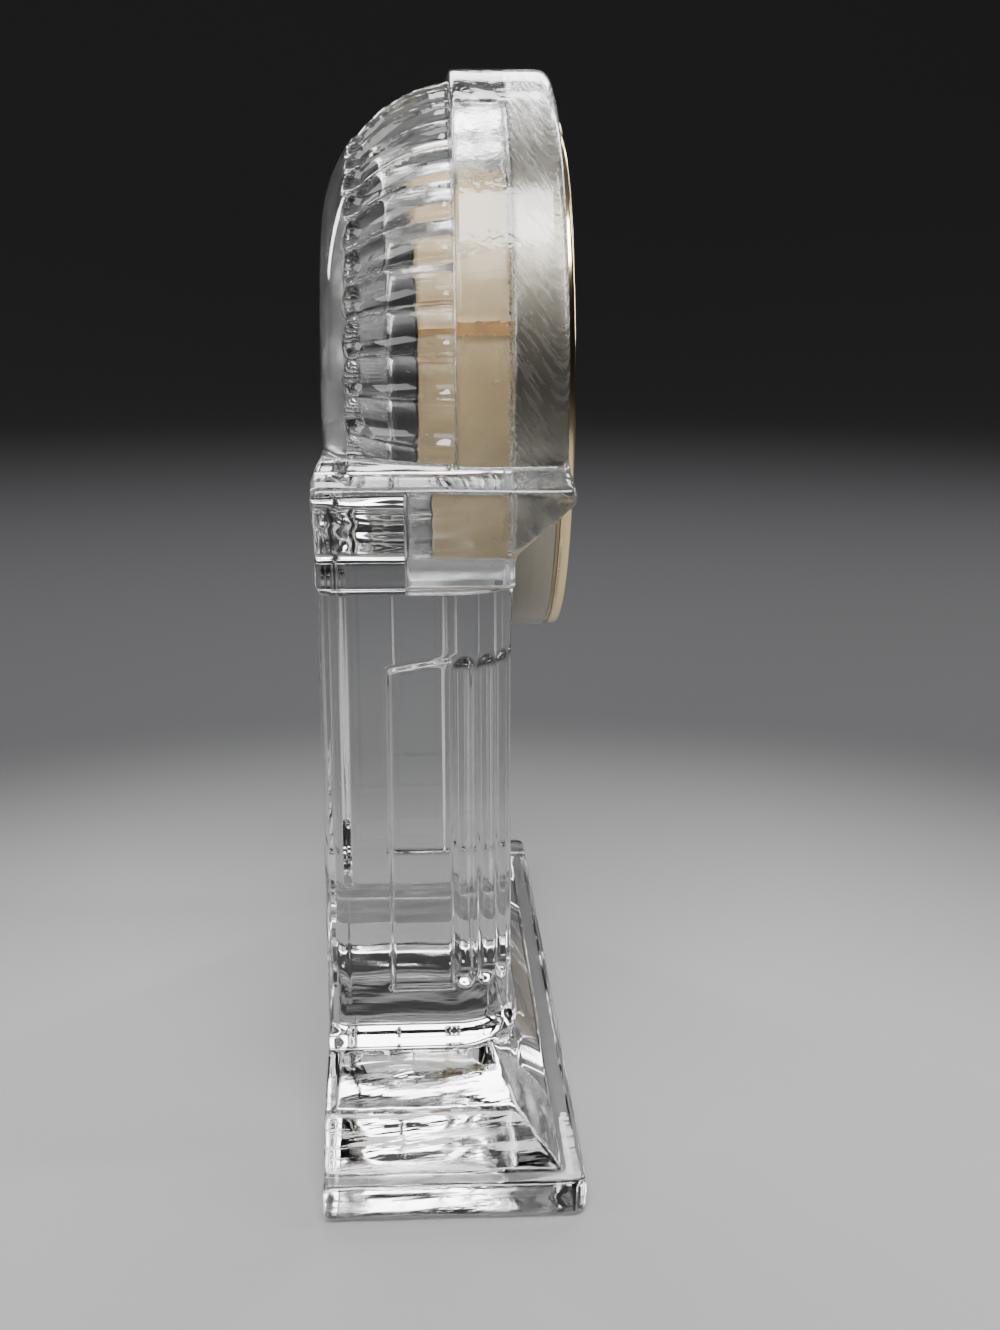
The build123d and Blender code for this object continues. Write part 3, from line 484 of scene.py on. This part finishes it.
def matt_material(name, colour, roughness, grain_scale, spread=0.15, bump=0.02):
    """Plastic, rubber or paint with a fine mottled grain."""
    material, nodes, links, shader = new_material(name)
    place = nodes.new("ShaderNodeTexCoord")
    grain = node(nodes, "ShaderNodeTexNoise", scale=grain_scale, detail=5.0)
    links.new(place.outputs["Object"], grain.inputs["Vector"])
    ramp = nodes.new("ShaderNodeValToRGB")
    ramp.color_ramp.elements[0].position = 0.3
    ramp.color_ramp.elements[1].position = 0.7
    ramp.color_ramp.elements[0].color = (*[part * (1 - spread) for part in colour], 1)
    ramp.color_ramp.elements[1].color = (*[min(1.0, part * (1 + spread)) for part in colour], 1)
    links.new(grain.outputs["Fac"], ramp.inputs["Fac"])
    links.new(ramp.outputs["Color"], shader.inputs["Base Color"])
    rough = nodes.new("ShaderNodeMapRange")
    rough.inputs["To Min"].default_value = roughness * 0.85
    rough.inputs["To Max"].default_value = min(1.0, roughness * 1.15)
    links.new(grain.outputs["Fac"], rough.inputs["Value"])
    links.new(rough.outputs["Result"], shader.inputs["Roughness"])
    relief = nodes.new("ShaderNodeBump")
    relief.inputs["Strength"].default_value = bump
    relief.inputs["Distance"].default_value = 0.1 * MM
    links.new(grain.outputs["Fac"], relief.inputs["Height"])
    links.new(relief.outputs["Normal"], shader.inputs["Normal"])


CRYSTAL_IOR = 1.54
CRYSTAL_TINT = (0.985, 0.99, 0.988)
LENS_IOR = 1.5

# Streaks and grains are counted per metre, and relief is in millimetres
glass_material("crystal", CRYSTAL_IOR, CRYSTAL_TINT)
glass_material("recess_glass", CRYSTAL_IOR, (0.97, 0.975, 0.97), clear=0.16, hazy=0.5,
               streaks=(100.0, 2200.0, 300.0), tilt=35.0, relief=0.2)
glass_material("drum_glass", CRYSTAL_IOR, CRYSTAL_TINT, clear=0.02, hazy=0.16,
               streaks=(500.0, 500.0, 700.0), tilt=0.0, relief=0.1)
glass_material("socket_glass", CRYSTAL_IOR, CRYSTAL_TINT, clear=0.14, hazy=0.34,
               streaks=(300.0, 300.0, 300.0), tilt=0.0, relief=0.05)
glass_material("hood_glass", CRYSTAL_IOR, CRYSTAL_TINT, clear=0.01, hazy=0.16,
               streaks=(60.0, 1800.0, 150.0), tilt=35.0, relief=0.04)
glass_material("base_glass", CRYSTAL_IOR, CRYSTAL_TINT, clear=0.04, hazy=0.3,
               streaks=(150.0, 80.0, 1000.0), tilt=4.0, relief=0.14, fade=(42.0, 54.0))
glass_material("lens_glass", LENS_IOR, (0.99, 0.99, 0.99))
metal_material("brass", (0.35, 0.318, 0.262), roughness=0.36, lines=60.0)
metal_material("lip", (0.83, 0.66, 0.38), roughness=0.12, lines=60.0)
metal_material("ring_gilt", (0.74, 0.6, 0.34), roughness=0.3, lines=60.0)
matt_material("dial_white", (0.82, 0.8, 0.73), roughness=0.5, grain_scale=900.0, spread=0.03)
matt_material("ink", (0.015, 0.015, 0.016), roughness=0.45, grain_scale=900.0, spread=0.2)
matt_material("cup_plastic", (0.022, 0.022, 0.023), roughness=0.42,
              grain_scale=1500.0, spread=0.3, bump=0.3)
matt_material("cover_plastic", (0.055, 0.055, 0.057), roughness=0.38,
              grain_scale=1500.0, spread=0.3, bump=0.3)
matt_material("knob_plastic", (0.3, 0.3, 0.29), roughness=0.4, grain_scale=1500.0, spread=0.1, bump=0.2)
matt_material("grip_tan", (0.8, 0.61, 0.335), roughness=0.75, grain_scale=220.0, spread=0.13, bump=0.3)
matt_material("grip_seam", (0.62, 0.34, 0.12), roughness=0.7, grain_scale=400.0, spread=0.25, bump=0.3)
metal_material("cell_steel", (0.6, 0.6, 0.58), roughness=0.25, lines=30.0)
metal_material("spring_metal", (0.64, 0.62, 0.58), roughness=0.22, lines=20.0)
metal_material("plate_metal", (0.58, 0.58, 0.57), roughness=0.38, lines=40.0)
metal_material("screw_steel", (0.47, 0.47, 0.48), roughness=0.25, lines=30.0)
matt_material("board_green", (0.03, 0.16, 0.06), roughness=0.45, grain_scale=700.0, spread=0.25)
metal_material("stator_iron", (0.4, 0.4, 0.42), roughness=0.4, lines=20.0)
metal_material("coil_copper", (0.6, 0.25, 0.1), roughness=0.3, lines=300.0)
matt_material("wheel_plastic", (0.8, 0.78, 0.72), roughness=0.4, grain_scale=800.0, spread=0.04)
metal_material("wheel_brass", (0.7, 0.53, 0.24), roughness=0.28, lines=30.0)
matt_material("hand_black", (0.012, 0.012, 0.013), roughness=0.25, grain_scale=900.0, spread=0.3)
metal_material("hand_gilt", (0.66, 0.46, 0.16), roughness=0.25, lines=30.0)

points, faces = mesh_of(crystal_form, case_low, case_high, GRID)
crystal = piece("crystal_casting", points, faces, materials["crystal"], "case", "crystal", ["crystal_case"])

# Kinds of glass on the casting's surface, in the order of its material slots
CASTING_GLASS = ("crystal", "recess_glass", "hood_glass", "base_glass", "drum_glass", "socket_glass")
RECESS_HAZE = 1.2


def glass_at(x, y, z):
    """Name the glass at a point of the casting's surface."""
    reach = math.hypot(x, z - HEAD_HEIGHT)
    if y < SEAT + EDGE and reach < RECESS_RADIUS + RECESS_HAZE:
        return "recess_glass"
    if y < SEAT - EDGE and z > COVE_LOW:
        return "hood_glass"
    if z < FOOT_LOW:
        return "base_glass"
    if y < DRUM_BACK and z > CORNICE_TOP and reach > HEAD_RADIUS - EDGE:
        return "drum_glass"
    if SEAT < y < SOCKET_FLOOR + EDGE and reach < BAND_RADIUS + EDGE:
        return "socket_glass"
    return "crystal"


for name in CASTING_GLASS[1:]:
    crystal.data.materials.append(materials[name])
for face in crystal.data.polygons:
    face.material_index = CASTING_GLASS.index(glass_at(*face.center / MM))


def soften(outline, radius, steps=5):
    """Round the corners of a closed outline of points."""
    result = []
    outline = np.array(outline, float)
    for before, corner, after in zip(np.roll(outline, 1, 0), outline, np.roll(outline, -1, 0)):
        reach = min(radius, np.linalg.norm(before - corner) / 2, np.linalg.norm(after - corner) / 2)
        start = corner + (before - corner) / np.linalg.norm(before - corner) * reach
        end = corner + (after - corner) / np.linalg.norm(after - corner) * reach
        for share in np.linspace(0, 1, steps):
            result.append((1 - share) ** 2 * start + 2 * share * (1 - share) * corner + share**2 * end)
    return result


def on_axis(radius, angle, level):
    """Give the point at a radius, an angle in degrees and a level forward of the base's middle."""
    turn = math.radians(angle)
    return (radius * math.cos(turn), -level, HEAD_HEIGHT + radius * math.sin(turn))


def lathe(outline, segments=192, start=0.0, sweep=360.0):
    """Turn a closed outline of (radius, level) points round the insert's axis, all round or part way."""
    count = len(outline)
    whole = sweep >= 360.0
    stations = segments if whole else segments + 1
    points = []
    for index in range(stations):
        points += [on_axis(radius, start + sweep * index / segments, level) for radius, level in outline]
    faces = []
    for index in range(segments):
        here = index * count
        there = (index + 1) % stations * count
        for side in range(count):
            after = (side + 1) % count
            faces.append((here + side, here + after, there + after, there + side))
    if not whole:
        faces.append(tuple(range(count)))
        faces.append(tuple((stations - 1) * count + side for side in reversed(range(count))))
    return points, faces


def prism(outline, low, high):
    """Stand a flat outline of (across, up) points between two levels."""
    count = len(outline)
    points = [(x, -low, HEAD_HEIGHT + up) for x, up in outline]
    points += [(x, -high, HEAD_HEIGHT + up) for x, up in outline]
    faces = [tuple(reversed(range(count))), tuple(range(count, 2 * count))]
    for side in range(count):
        after = (side + 1) % count
        faces.append((side, after, count + after, count + side))
    return points, faces


def joined(parts):
    """Put several lots of points and faces together."""
    points, faces = [], []
    for more_points, more_faces in parts:
        shift = len(points)
        points += list(more_points)
        faces += [tuple(shift + corner for corner in face) for face in more_faces]
    return points, faces


# Levels of the insert, forward of the middle of the base
BEZEL_BACK = -bezel_high[1]
BEZEL_FRONT = -bezel_low[1]
LENS_CLEARANCE = 0.1
LENS_RADIUS = lens_high[0]
BORE = LENS_RADIUS + LENS_CLEARANCE
LIP_COVER = 1.6
LIP_BORE = BORE - LIP_COVER
LENS_RIM = -lens_high[1]
LENS_TOP = -lens_low[1]
LENS_EDGE = 1.2
LENS_CROWN = 0.8
DIAL_FACE = -dial_low[1]
DIAL_BACK = -dial_high[1]
DIAL_RADIUS = dial_high[0]

SEAT_STEP = 0.8
SEAT_THICKNESS = 0.4
GROOVE_LOW = 14.3
GROOVE_HIGH = 14.8
GROOVE_DEPTH = 0.45
LIP_MARGIN = 0.1
BEZEL_SOFTNESS = 0.5
LENS_MARGIN = 0.4
LENS_STEPS = 24
DIAL_HOLE = 1.73
RING_WIDTH = 1.5
RING_TOP_WIDTH = 0.6
RING_BEVEL = 1.4
ROUND = 192
FINE_ROUND = 256


def make_bezel():
    """Make the spun bezel with its turned groove and its rounded, brighter lip."""
    outline = [
        (BORE - SEAT_STEP, BEZEL_BACK), (BEZEL_RADIUS, BEZEL_BACK), (BEZEL_RADIUS, GROOVE_LOW),
        (BEZEL_RADIUS - GROOVE_DEPTH, GROOVE_LOW), (BEZEL_RADIUS - GROOVE_DEPTH, GROOVE_HIGH),
        (BEZEL_RADIUS, GROOVE_HIGH), (BEZEL_RADIUS, BEZEL_FRONT), (LIP_BORE, BEZEL_FRONT),
        (LIP_BORE, LENS_RIM + LENS_EDGE), (BORE, LENS_RIM + LENS_EDGE),
        (BORE, BEZEL_BACK + SEAT_THICKNESS), (BORE - SEAT_STEP, BEZEL_BACK + SEAT_THICKNESS),
    ]
    points, faces = lathe(soften(outline, BEZEL_SOFTNESS), FINE_ROUND)
    bezel = piece("bezel_drum", points, faces, materials["brass"], "insert", "brass", ["bezel"])
    bezel.data.materials.append(materials["lip"])
    for face in bezel.data.polygons:
        face.material_index = 1 if -face.center.y / MM > GROOVE_HIGH - LIP_MARGIN else 0


def make_lens():
    """Make the shallow domed glass."""
    flat = LIP_BORE - LENS_MARGIN
    shares = [step / LENS_STEPS for step in range(1, LENS_STEPS + 1)]
    front = [(flat * share, LENS_TOP - LENS_CROWN * share**2) for share in shares]
    behind = [(radius, level - LENS_EDGE) for radius, level in reversed(front)]
    rim = LENS_TOP - LENS_CROWN
    outline = front + [(LENS_RADIUS, rim), (LENS_RADIUS, rim - LENS_EDGE)] + behind
    points, faces = lathe(outline, ROUND)
    count = len(outline)
    faces = [face for face in faces if face[0] % count != count - 1]
    faces.append(tuple(index * count for index in range(ROUND)))
    faces.append(tuple(index * count + count - 1 for index in reversed(range(ROUND))))
    piece("lens_crown", points, faces, materials["lens_glass"], "insert", "lens_glass", ["lens"])


def make_dial():
    """Make the dial plate and the bevelled gilt ring round it."""
    outline = [(DIAL_HOLE, DIAL_BACK), (DIAL_RADIUS, DIAL_BACK),
               (DIAL_RADIUS, DIAL_FACE), (DIAL_HOLE, DIAL_FACE)]
    points, faces = lathe(soften(outline, 0.08, 3), ROUND)
    white = materials["dial_white"]
    piece("dial_plate", points, faces, white, "insert", "dial_white", ["dial"], smooth=False)
    top = -rehaut_low[1]
    outer = rehaut_high[0]
    inner = outer - RING_WIDTH
    outline = [(outer, DIAL_FACE), (outer, top), (outer - RING_TOP_WIDTH, top),
               (inner, top - RING_BEVEL), (inner, DIAL_FACE)]
    points, faces = lathe(soften(outline, 0.15, 3), ROUND)
    piece("dial_surround", points, faces, materials["ring_gilt"], "insert", "ring_gilt", ["dial_ring"])


INK = 0.02
NUMERALS = ("XII", "I", "II", "III", "IIII", "V", "VI", "VII", "VIII", "IX", "X", "XI")
NUMERAL_RADIUS = 25.6
NUMERAL_HEIGHT = 5.4
LETTER_WIDTHS = {"I": 1.55, "V": 3.7, "X": 3.7}
THICK = 0.75
THIN = 0.26
SERIF = 0.2
SERIF_WIDTH = 1.1
SIDE_GAP = 0.55
THIN_SHIFT = 0.1
TRACK_INNER = 29.6
TRACK_OUTER = 31.0
TRACK_LINE = 0.12
FIVE_MINUTE_MARK = 0.7
MINUTE_MARK = 0.2


def slanted(start, end, width):
    """Outline a straight stroke between two (across, up) points with level ends."""
    half = width / 2
    return [(start[0] - half, start[1]), (start[0] + half, start[1]),
            (end[0] + half, end[1]), (end[0] - half, end[1])]


def serif(across, up, width):
    """Outline a thin level bar at the end of a stroke."""
    return slanted((across, up - SERIF / 2), (across, up + SERIF / 2), width)


def letter(sign):
    """Outline the strokes of one numeral letter round its own middle."""
    top = NUMERAL_HEIGHT / 2
    reach = LETTER_WIDTHS[sign] / 2 - SIDE_GAP
    if sign == "I":
        strokes = [slanted((0, -top), (0, top), THICK)]
        ends = [(0, -top), (0, top)]
    elif sign == "V":
        strokes = [slanted((0, -top), (-reach, top), THICK), slanted((THIN_SHIFT, -top), (reach, top), THIN)]
        ends = [(-reach, top), (reach, top)]
    else:
        strokes = [slanted((reach, -top), (-reach, top), THICK), slanted((-reach, -top), (reach, top), THIN)]
        ends = [(-reach, top), (reach, top), (-reach, -top), (reach, -top)]
    return strokes + [serif(across, up, SERIF_WIDTH) for across, up in ends]


def turned(outline, angle):
    """Turn a flat outline clockwise by an angle in degrees."""
    turn = math.radians(angle)
    cosine = math.cos(turn)
    sine = math.sin(turn)
    return [(x * cosine + up * sine, up * cosine - x * sine) for x, up in outline]


def make_printing():
    """Print the plain hour numerals and the minute track on the dial."""
    parts = []
    for hour, signs in enumerate(NUMERALS):
        across = -sum(LETTER_WIDTHS[sign] for sign in signs) / 2
        for sign in signs:
            across += LETTER_WIDTHS[sign] / 2
            for stroke in letter(sign):
                placed = [(x + across, up + NUMERAL_RADIUS) for x, up in stroke]
                parts.append(prism(turned(placed, 30.0 * hour), DIAL_FACE, DIAL_FACE + INK))
            across += LETTER_WIDTHS[sign] / 2
    piece("dial_numerals", *joined(parts), materials["ink"], "insert", "dial_white", smooth=False)
    parts = []
    for radius in (TRACK_INNER, TRACK_OUTER):
        line = [(radius, DIAL_FACE), (radius + TRACK_LINE, DIAL_FACE),
                (radius + TRACK_LINE, DIAL_FACE + INK), (radius, DIAL_FACE + INK)]
        parts.append(lathe(line, 240))
    for minute in range(60):
        width = FIVE_MINUTE_MARK if minute % 5 == 0 else MINUTE_MARK
        stroke = slanted((0, TRACK_INNER), (0, TRACK_OUTER), width)
        parts.append(prism(turned(stroke, 6.0 * minute), DIAL_FACE, DIAL_FACE + INK))
    piece("dial_minute_track", *joined(parts), materials["ink"], "insert", "dial_white", smooth=False)


SEAM_ANGLE = 165.0
SEAM_SPREAD = 3.0
GRIP_THICKNESS = 1.35


def make_grip():
    """Make the tan grip band, and the darker glued seam where its ends meet."""
    low = -band_high[1]
    high = -band_low[1]
    inner = BAND_RADIUS - GRIP_THICKNESS
    outline = soften([(inner, low), (BAND_RADIUS, low), (BAND_RADIUS, high), (inner, high)], 0.3)
    band = lathe(outline, 180, SEAM_ANGLE + SEAM_SPREAD / 2, 360.0 - SEAM_SPREAD)
    piece("grip_wrap", *band, materials["grip_tan"], "insert", "grip_tan", ["grip_band"])
    seam = lathe(outline, 8, SEAM_ANGLE - SEAM_SPREAD / 2, SEAM_SPREAD)
    piece("grip_seam", *seam, materials["grip_seam"], "insert", "grip_tan")


HAND_THICKNESS = 0.3
HAND_SHOULDER = 0.55
HUB_WIDTH = 0.9


def leaf(length, width, tail, low, angle, hub, bore):
    """Make a tapered hand with a raised middle line and a round hub, pointing at a dial angle."""
    stations = [(-tail, 0.35), (0.0, 0.5), (0.45, 1.0), (0.8, 0.5), (1.0, 0.06)]
    points = []
    for place, share in stations:
        up = place * length if place > 0 else place
        half = width / 2 * share
        row = [(-half, 0.0), (half, 0.0), (half, HAND_SHOULDER), (0.0, 1.0), (-half, HAND_SHOULDER)]
        spots = turned([(x, up) for x, _ in row], angle)
        for (x, rise), (_, level) in zip(spots, row):
            points.append((x, -(low + HAND_THICKNESS * level), HEAD_HEIGHT + rise))
    sides = 5
    faces = []
    for here in range(0, (len(stations) - 1) * sides, sides):
        for side in range(sides):
            after = (side + 1) % sides
            faces.append((here + side, here + after, here + sides + after, here + sides + side))
    faces.append(tuple(reversed(range(sides))))
    faces.append(tuple((len(stations) - 1) * sides + side for side in range(sides)))
    top = low + HAND_THICKNESS
    ring = lathe(soften([(bore, low), (hub, low), (hub, top), (bore, top)], 0.08, 3), 48)
    return joined([(points, faces), ring])


REST_HOUR = 10
REST_MINUTE = 9
REST_SECOND = 36


def make_hand(name, cad, body, slot, length, width, tail, angle, bore):
    """Make one hand at its CAD node's level, with a hub round its bore."""
    low = -box_mm(cad)[1][1]
    shape = leaf(length, width, tail, low, angle, bore + HUB_WIDTH, bore)
    piece(name, *shape, materials[slot], body, slot, [cad], smooth=False)


def make_hands():
    """Make the three hands at the time they show at rest."""
    minute_angle = 6.0 * REST_MINUTE
    hour_angle = 30.0 * REST_HOUR + minute_angle / 12
    make_hand("hour_leaf", "hour_hand", "hour_work", "hand_black",
              length=17.5, width=2.6, tail=0.0, angle=hour_angle, bore=1.63)
    make_hand("minute_leaf", "minute_hand", "minute_work", "hand_black",
              length=25.5, width=2.0, tail=0.0, angle=minute_angle, bore=1.22)
    make_hand("second_needle", "second_hand", "seconds_work", "hand_gilt",
              length=27.0, width=0.7, tail=8.0, angle=6.0 * REST_SECOND, bore=0.4)


make_bezel()
make_lens()
make_dial()
make_printing()
make_grip()
make_hands()

# CAD nodes that show as they are
LIGHTER = {"cell_cover": "cover_plastic", "setting_knob": "knob_plastic"}
for name, cad in frame["nodes"].items():
    slot = next(row["material_slot"] for row in frame["record"]["subparts"] if row["node"] == name)
    cad.data.materials.clear()
    cad.data.materials.append(materials[LIGHTER.get(name, slot)])

# Studio: a round floor that sweeps up into a wall; its colour is a painted pool of light, pale grey round the
# clock, fading into a painted shade of near-black grey further out on the floor and on the wall
FLOOR_RADIUS = 0.9
SWEEP_RADIUS = 0.5
WALL_HEIGHT = 1.6
SWEEP_STEPS = 12
SWEEP_SEGMENTS = 96
# Painted light: a pale pool round this centre, fading into painted near-black shade beyond its end
PAINTED_LIGHT_POOL_CENTRE = (-0.1, 0.0, 0.0)
PAINTED_LIGHT_POOL_RADIUS = 0.1
PAINTED_LIGHT_POOL_END = 0.27
PAINTED_LIGHT_GREY = (0.29, 0.29, 0.29, 1)
PAINTED_SHADE_GREY = (0.03, 0.03, 0.032, 1)


def make_studio():
    """Make the floor and the wall round it as one turned surface, coloured with a painted pool of light."""
    outline = [(0.001, 0.0), (FLOOR_RADIUS / 2, 0.0), (FLOOR_RADIUS, 0.0)]
    for step in range(1, SWEEP_STEPS + 1):
        turn = math.radians(90.0 * step / SWEEP_STEPS)
        outline.append((FLOOR_RADIUS + SWEEP_RADIUS * math.sin(turn), SWEEP_RADIUS * (1 - math.cos(turn))))
    outline.append((FLOOR_RADIUS + SWEEP_RADIUS, WALL_HEIGHT))
    points = []
    for index in range(SWEEP_SEGMENTS):
        turn = 2 * math.pi * index / SWEEP_SEGMENTS
        points += [(radius * math.cos(turn), radius * math.sin(turn), up) for radius, up in outline]
    count = len(outline)
    faces = []
    for index in range(SWEEP_SEGMENTS):
        here = index * count
        there = (index + 1) % SWEEP_SEGMENTS * count
        faces += [(here + side, there + side, there + side + 1, here + side + 1) for side in range(count - 1)]
    mesh = bpy.data.meshes.new("studio_sweep")
    mesh.from_pydata(points, [], faces)
    mesh.polygons.foreach_set("use_smooth", [True] * len(mesh.polygons))
    sweep = bpy.data.objects.new("studio_sweep", mesh)
    bpy.context.scene.collection.objects.link(sweep)
    paint, nodes, links, shader = new_material("studio_painted_light_pool")
    place = nodes.new("ShaderNodeTexCoord")
    away = node(nodes, "ShaderNodeVectorMath", operation="DISTANCE")
    links.new(place.outputs["Object"], away.inputs[0])
    away.inputs[1].default_value = PAINTED_LIGHT_POOL_CENTRE
    # Painted pool of light: pale grey close to a point on the camera's side of the clock, fading to a painted
    # near-black shade with distance from it
    fade = nodes.new("ShaderNodeValToRGB")
    fade.color_ramp.interpolation = "EASE"
    fade.color_ramp.elements[0].position = PAINTED_LIGHT_POOL_RADIUS
    fade.color_ramp.elements[0].color = PAINTED_LIGHT_GREY
    fade.color_ramp.elements[1].position = PAINTED_LIGHT_POOL_END
    fade.color_ramp.elements[1].color = PAINTED_SHADE_GREY
    links.new(away.outputs["Value"], fade.inputs["Fac"])
    links.new(fade.outputs["Color"], shader.inputs["Base Color"])
    shader.inputs["Roughness"].default_value = 0.8
    mesh.materials.append(paint)


make_studio()

# Lights
SKY_COLOUR = (0.5, 0.5, 0.52, 1)
SKY_STRENGTH = 0.2
world = bpy.data.worlds.new("studio")
bpy.context.scene.world = world
world.use_nodes = True
background = world.node_tree.nodes["Background"]
background.inputs["Color"].default_value = SKY_COLOUR
background.inputs["Strength"].default_value = SKY_STRENGTH


def softbox(name, place, aim, width, height, power):
    """Add a rectangular soft light that faces a point."""
    lamp = bpy.data.lights.new(name, "AREA")
    lamp.shape = "RECTANGLE"
    lamp.size = width
    lamp.size_y = height
    lamp.energy = power
    result = bpy.data.objects.new(name, lamp)
    bpy.context.scene.collection.objects.link(result)
    result.location = place
    result.rotation_euler = (Vector(aim) - Vector(place)).to_track_quat("-Z", "Y").to_euler()
    result.visible_camera = False


softbox("overhead", place=(-0.34, 0.0, 0.75), aim=(-0.1, 0, 0.05), width=0.45, height=0.28, power=9.0)
softbox("beyond", place=(0.42, 0.0, 0.68), aim=(0, 0, 0.05), width=0.5, height=0.07, power=1.6)
softbox("low_beyond", place=(0.52, 0.0, 0.43), aim=(0, 0, 0.03), width=0.4, height=0.16, power=2.0)
softbox("fill", place=(-0.75, 0.3, 0.7), aim=(0, 0, 0.07), width=0.3, height=0.3, power=1.5)
softbox("left", place=(-0.2, 0.6, 0.5), aim=(0, 0, 0.09), width=0.45, height=0.3, power=2.0)
softbox("right", place=(0.0, -0.5, 0.4), aim=(0, 0, 0.07), width=0.05, height=0.5, power=1.8)
softbox("left_rim", place=(0.4, 0.35, 0.4), aim=(0, 0, 0.05), width=0.04, height=0.5, power=1.0)
softbox("right_rim", place=(0.4, -0.35, 0.4), aim=(0, 0, 0.05), width=0.04, height=0.5, power=1.3)

# Camera at the photograph's angle
CAMERA_PLACE = (-0.2420, 0.0042, 0.1177)
CAMERA_AIM = (0.9672, -0.0515, -0.2487)
CAMERA_LENS = 44.66
lens = bpy.data.cameras.new("camera")
lens.lens = CAMERA_LENS
lens.sensor_width = 36.0
lens.clip_start = 0.005
camera = bpy.data.objects.new("camera", lens)
bpy.context.scene.collection.objects.link(camera)
camera.location = CAMERA_PLACE
camera.rotation_euler = Vector(CAMERA_AIM).to_track_quat("-Z", "Y").to_euler()
bpy.context.scene.camera = camera
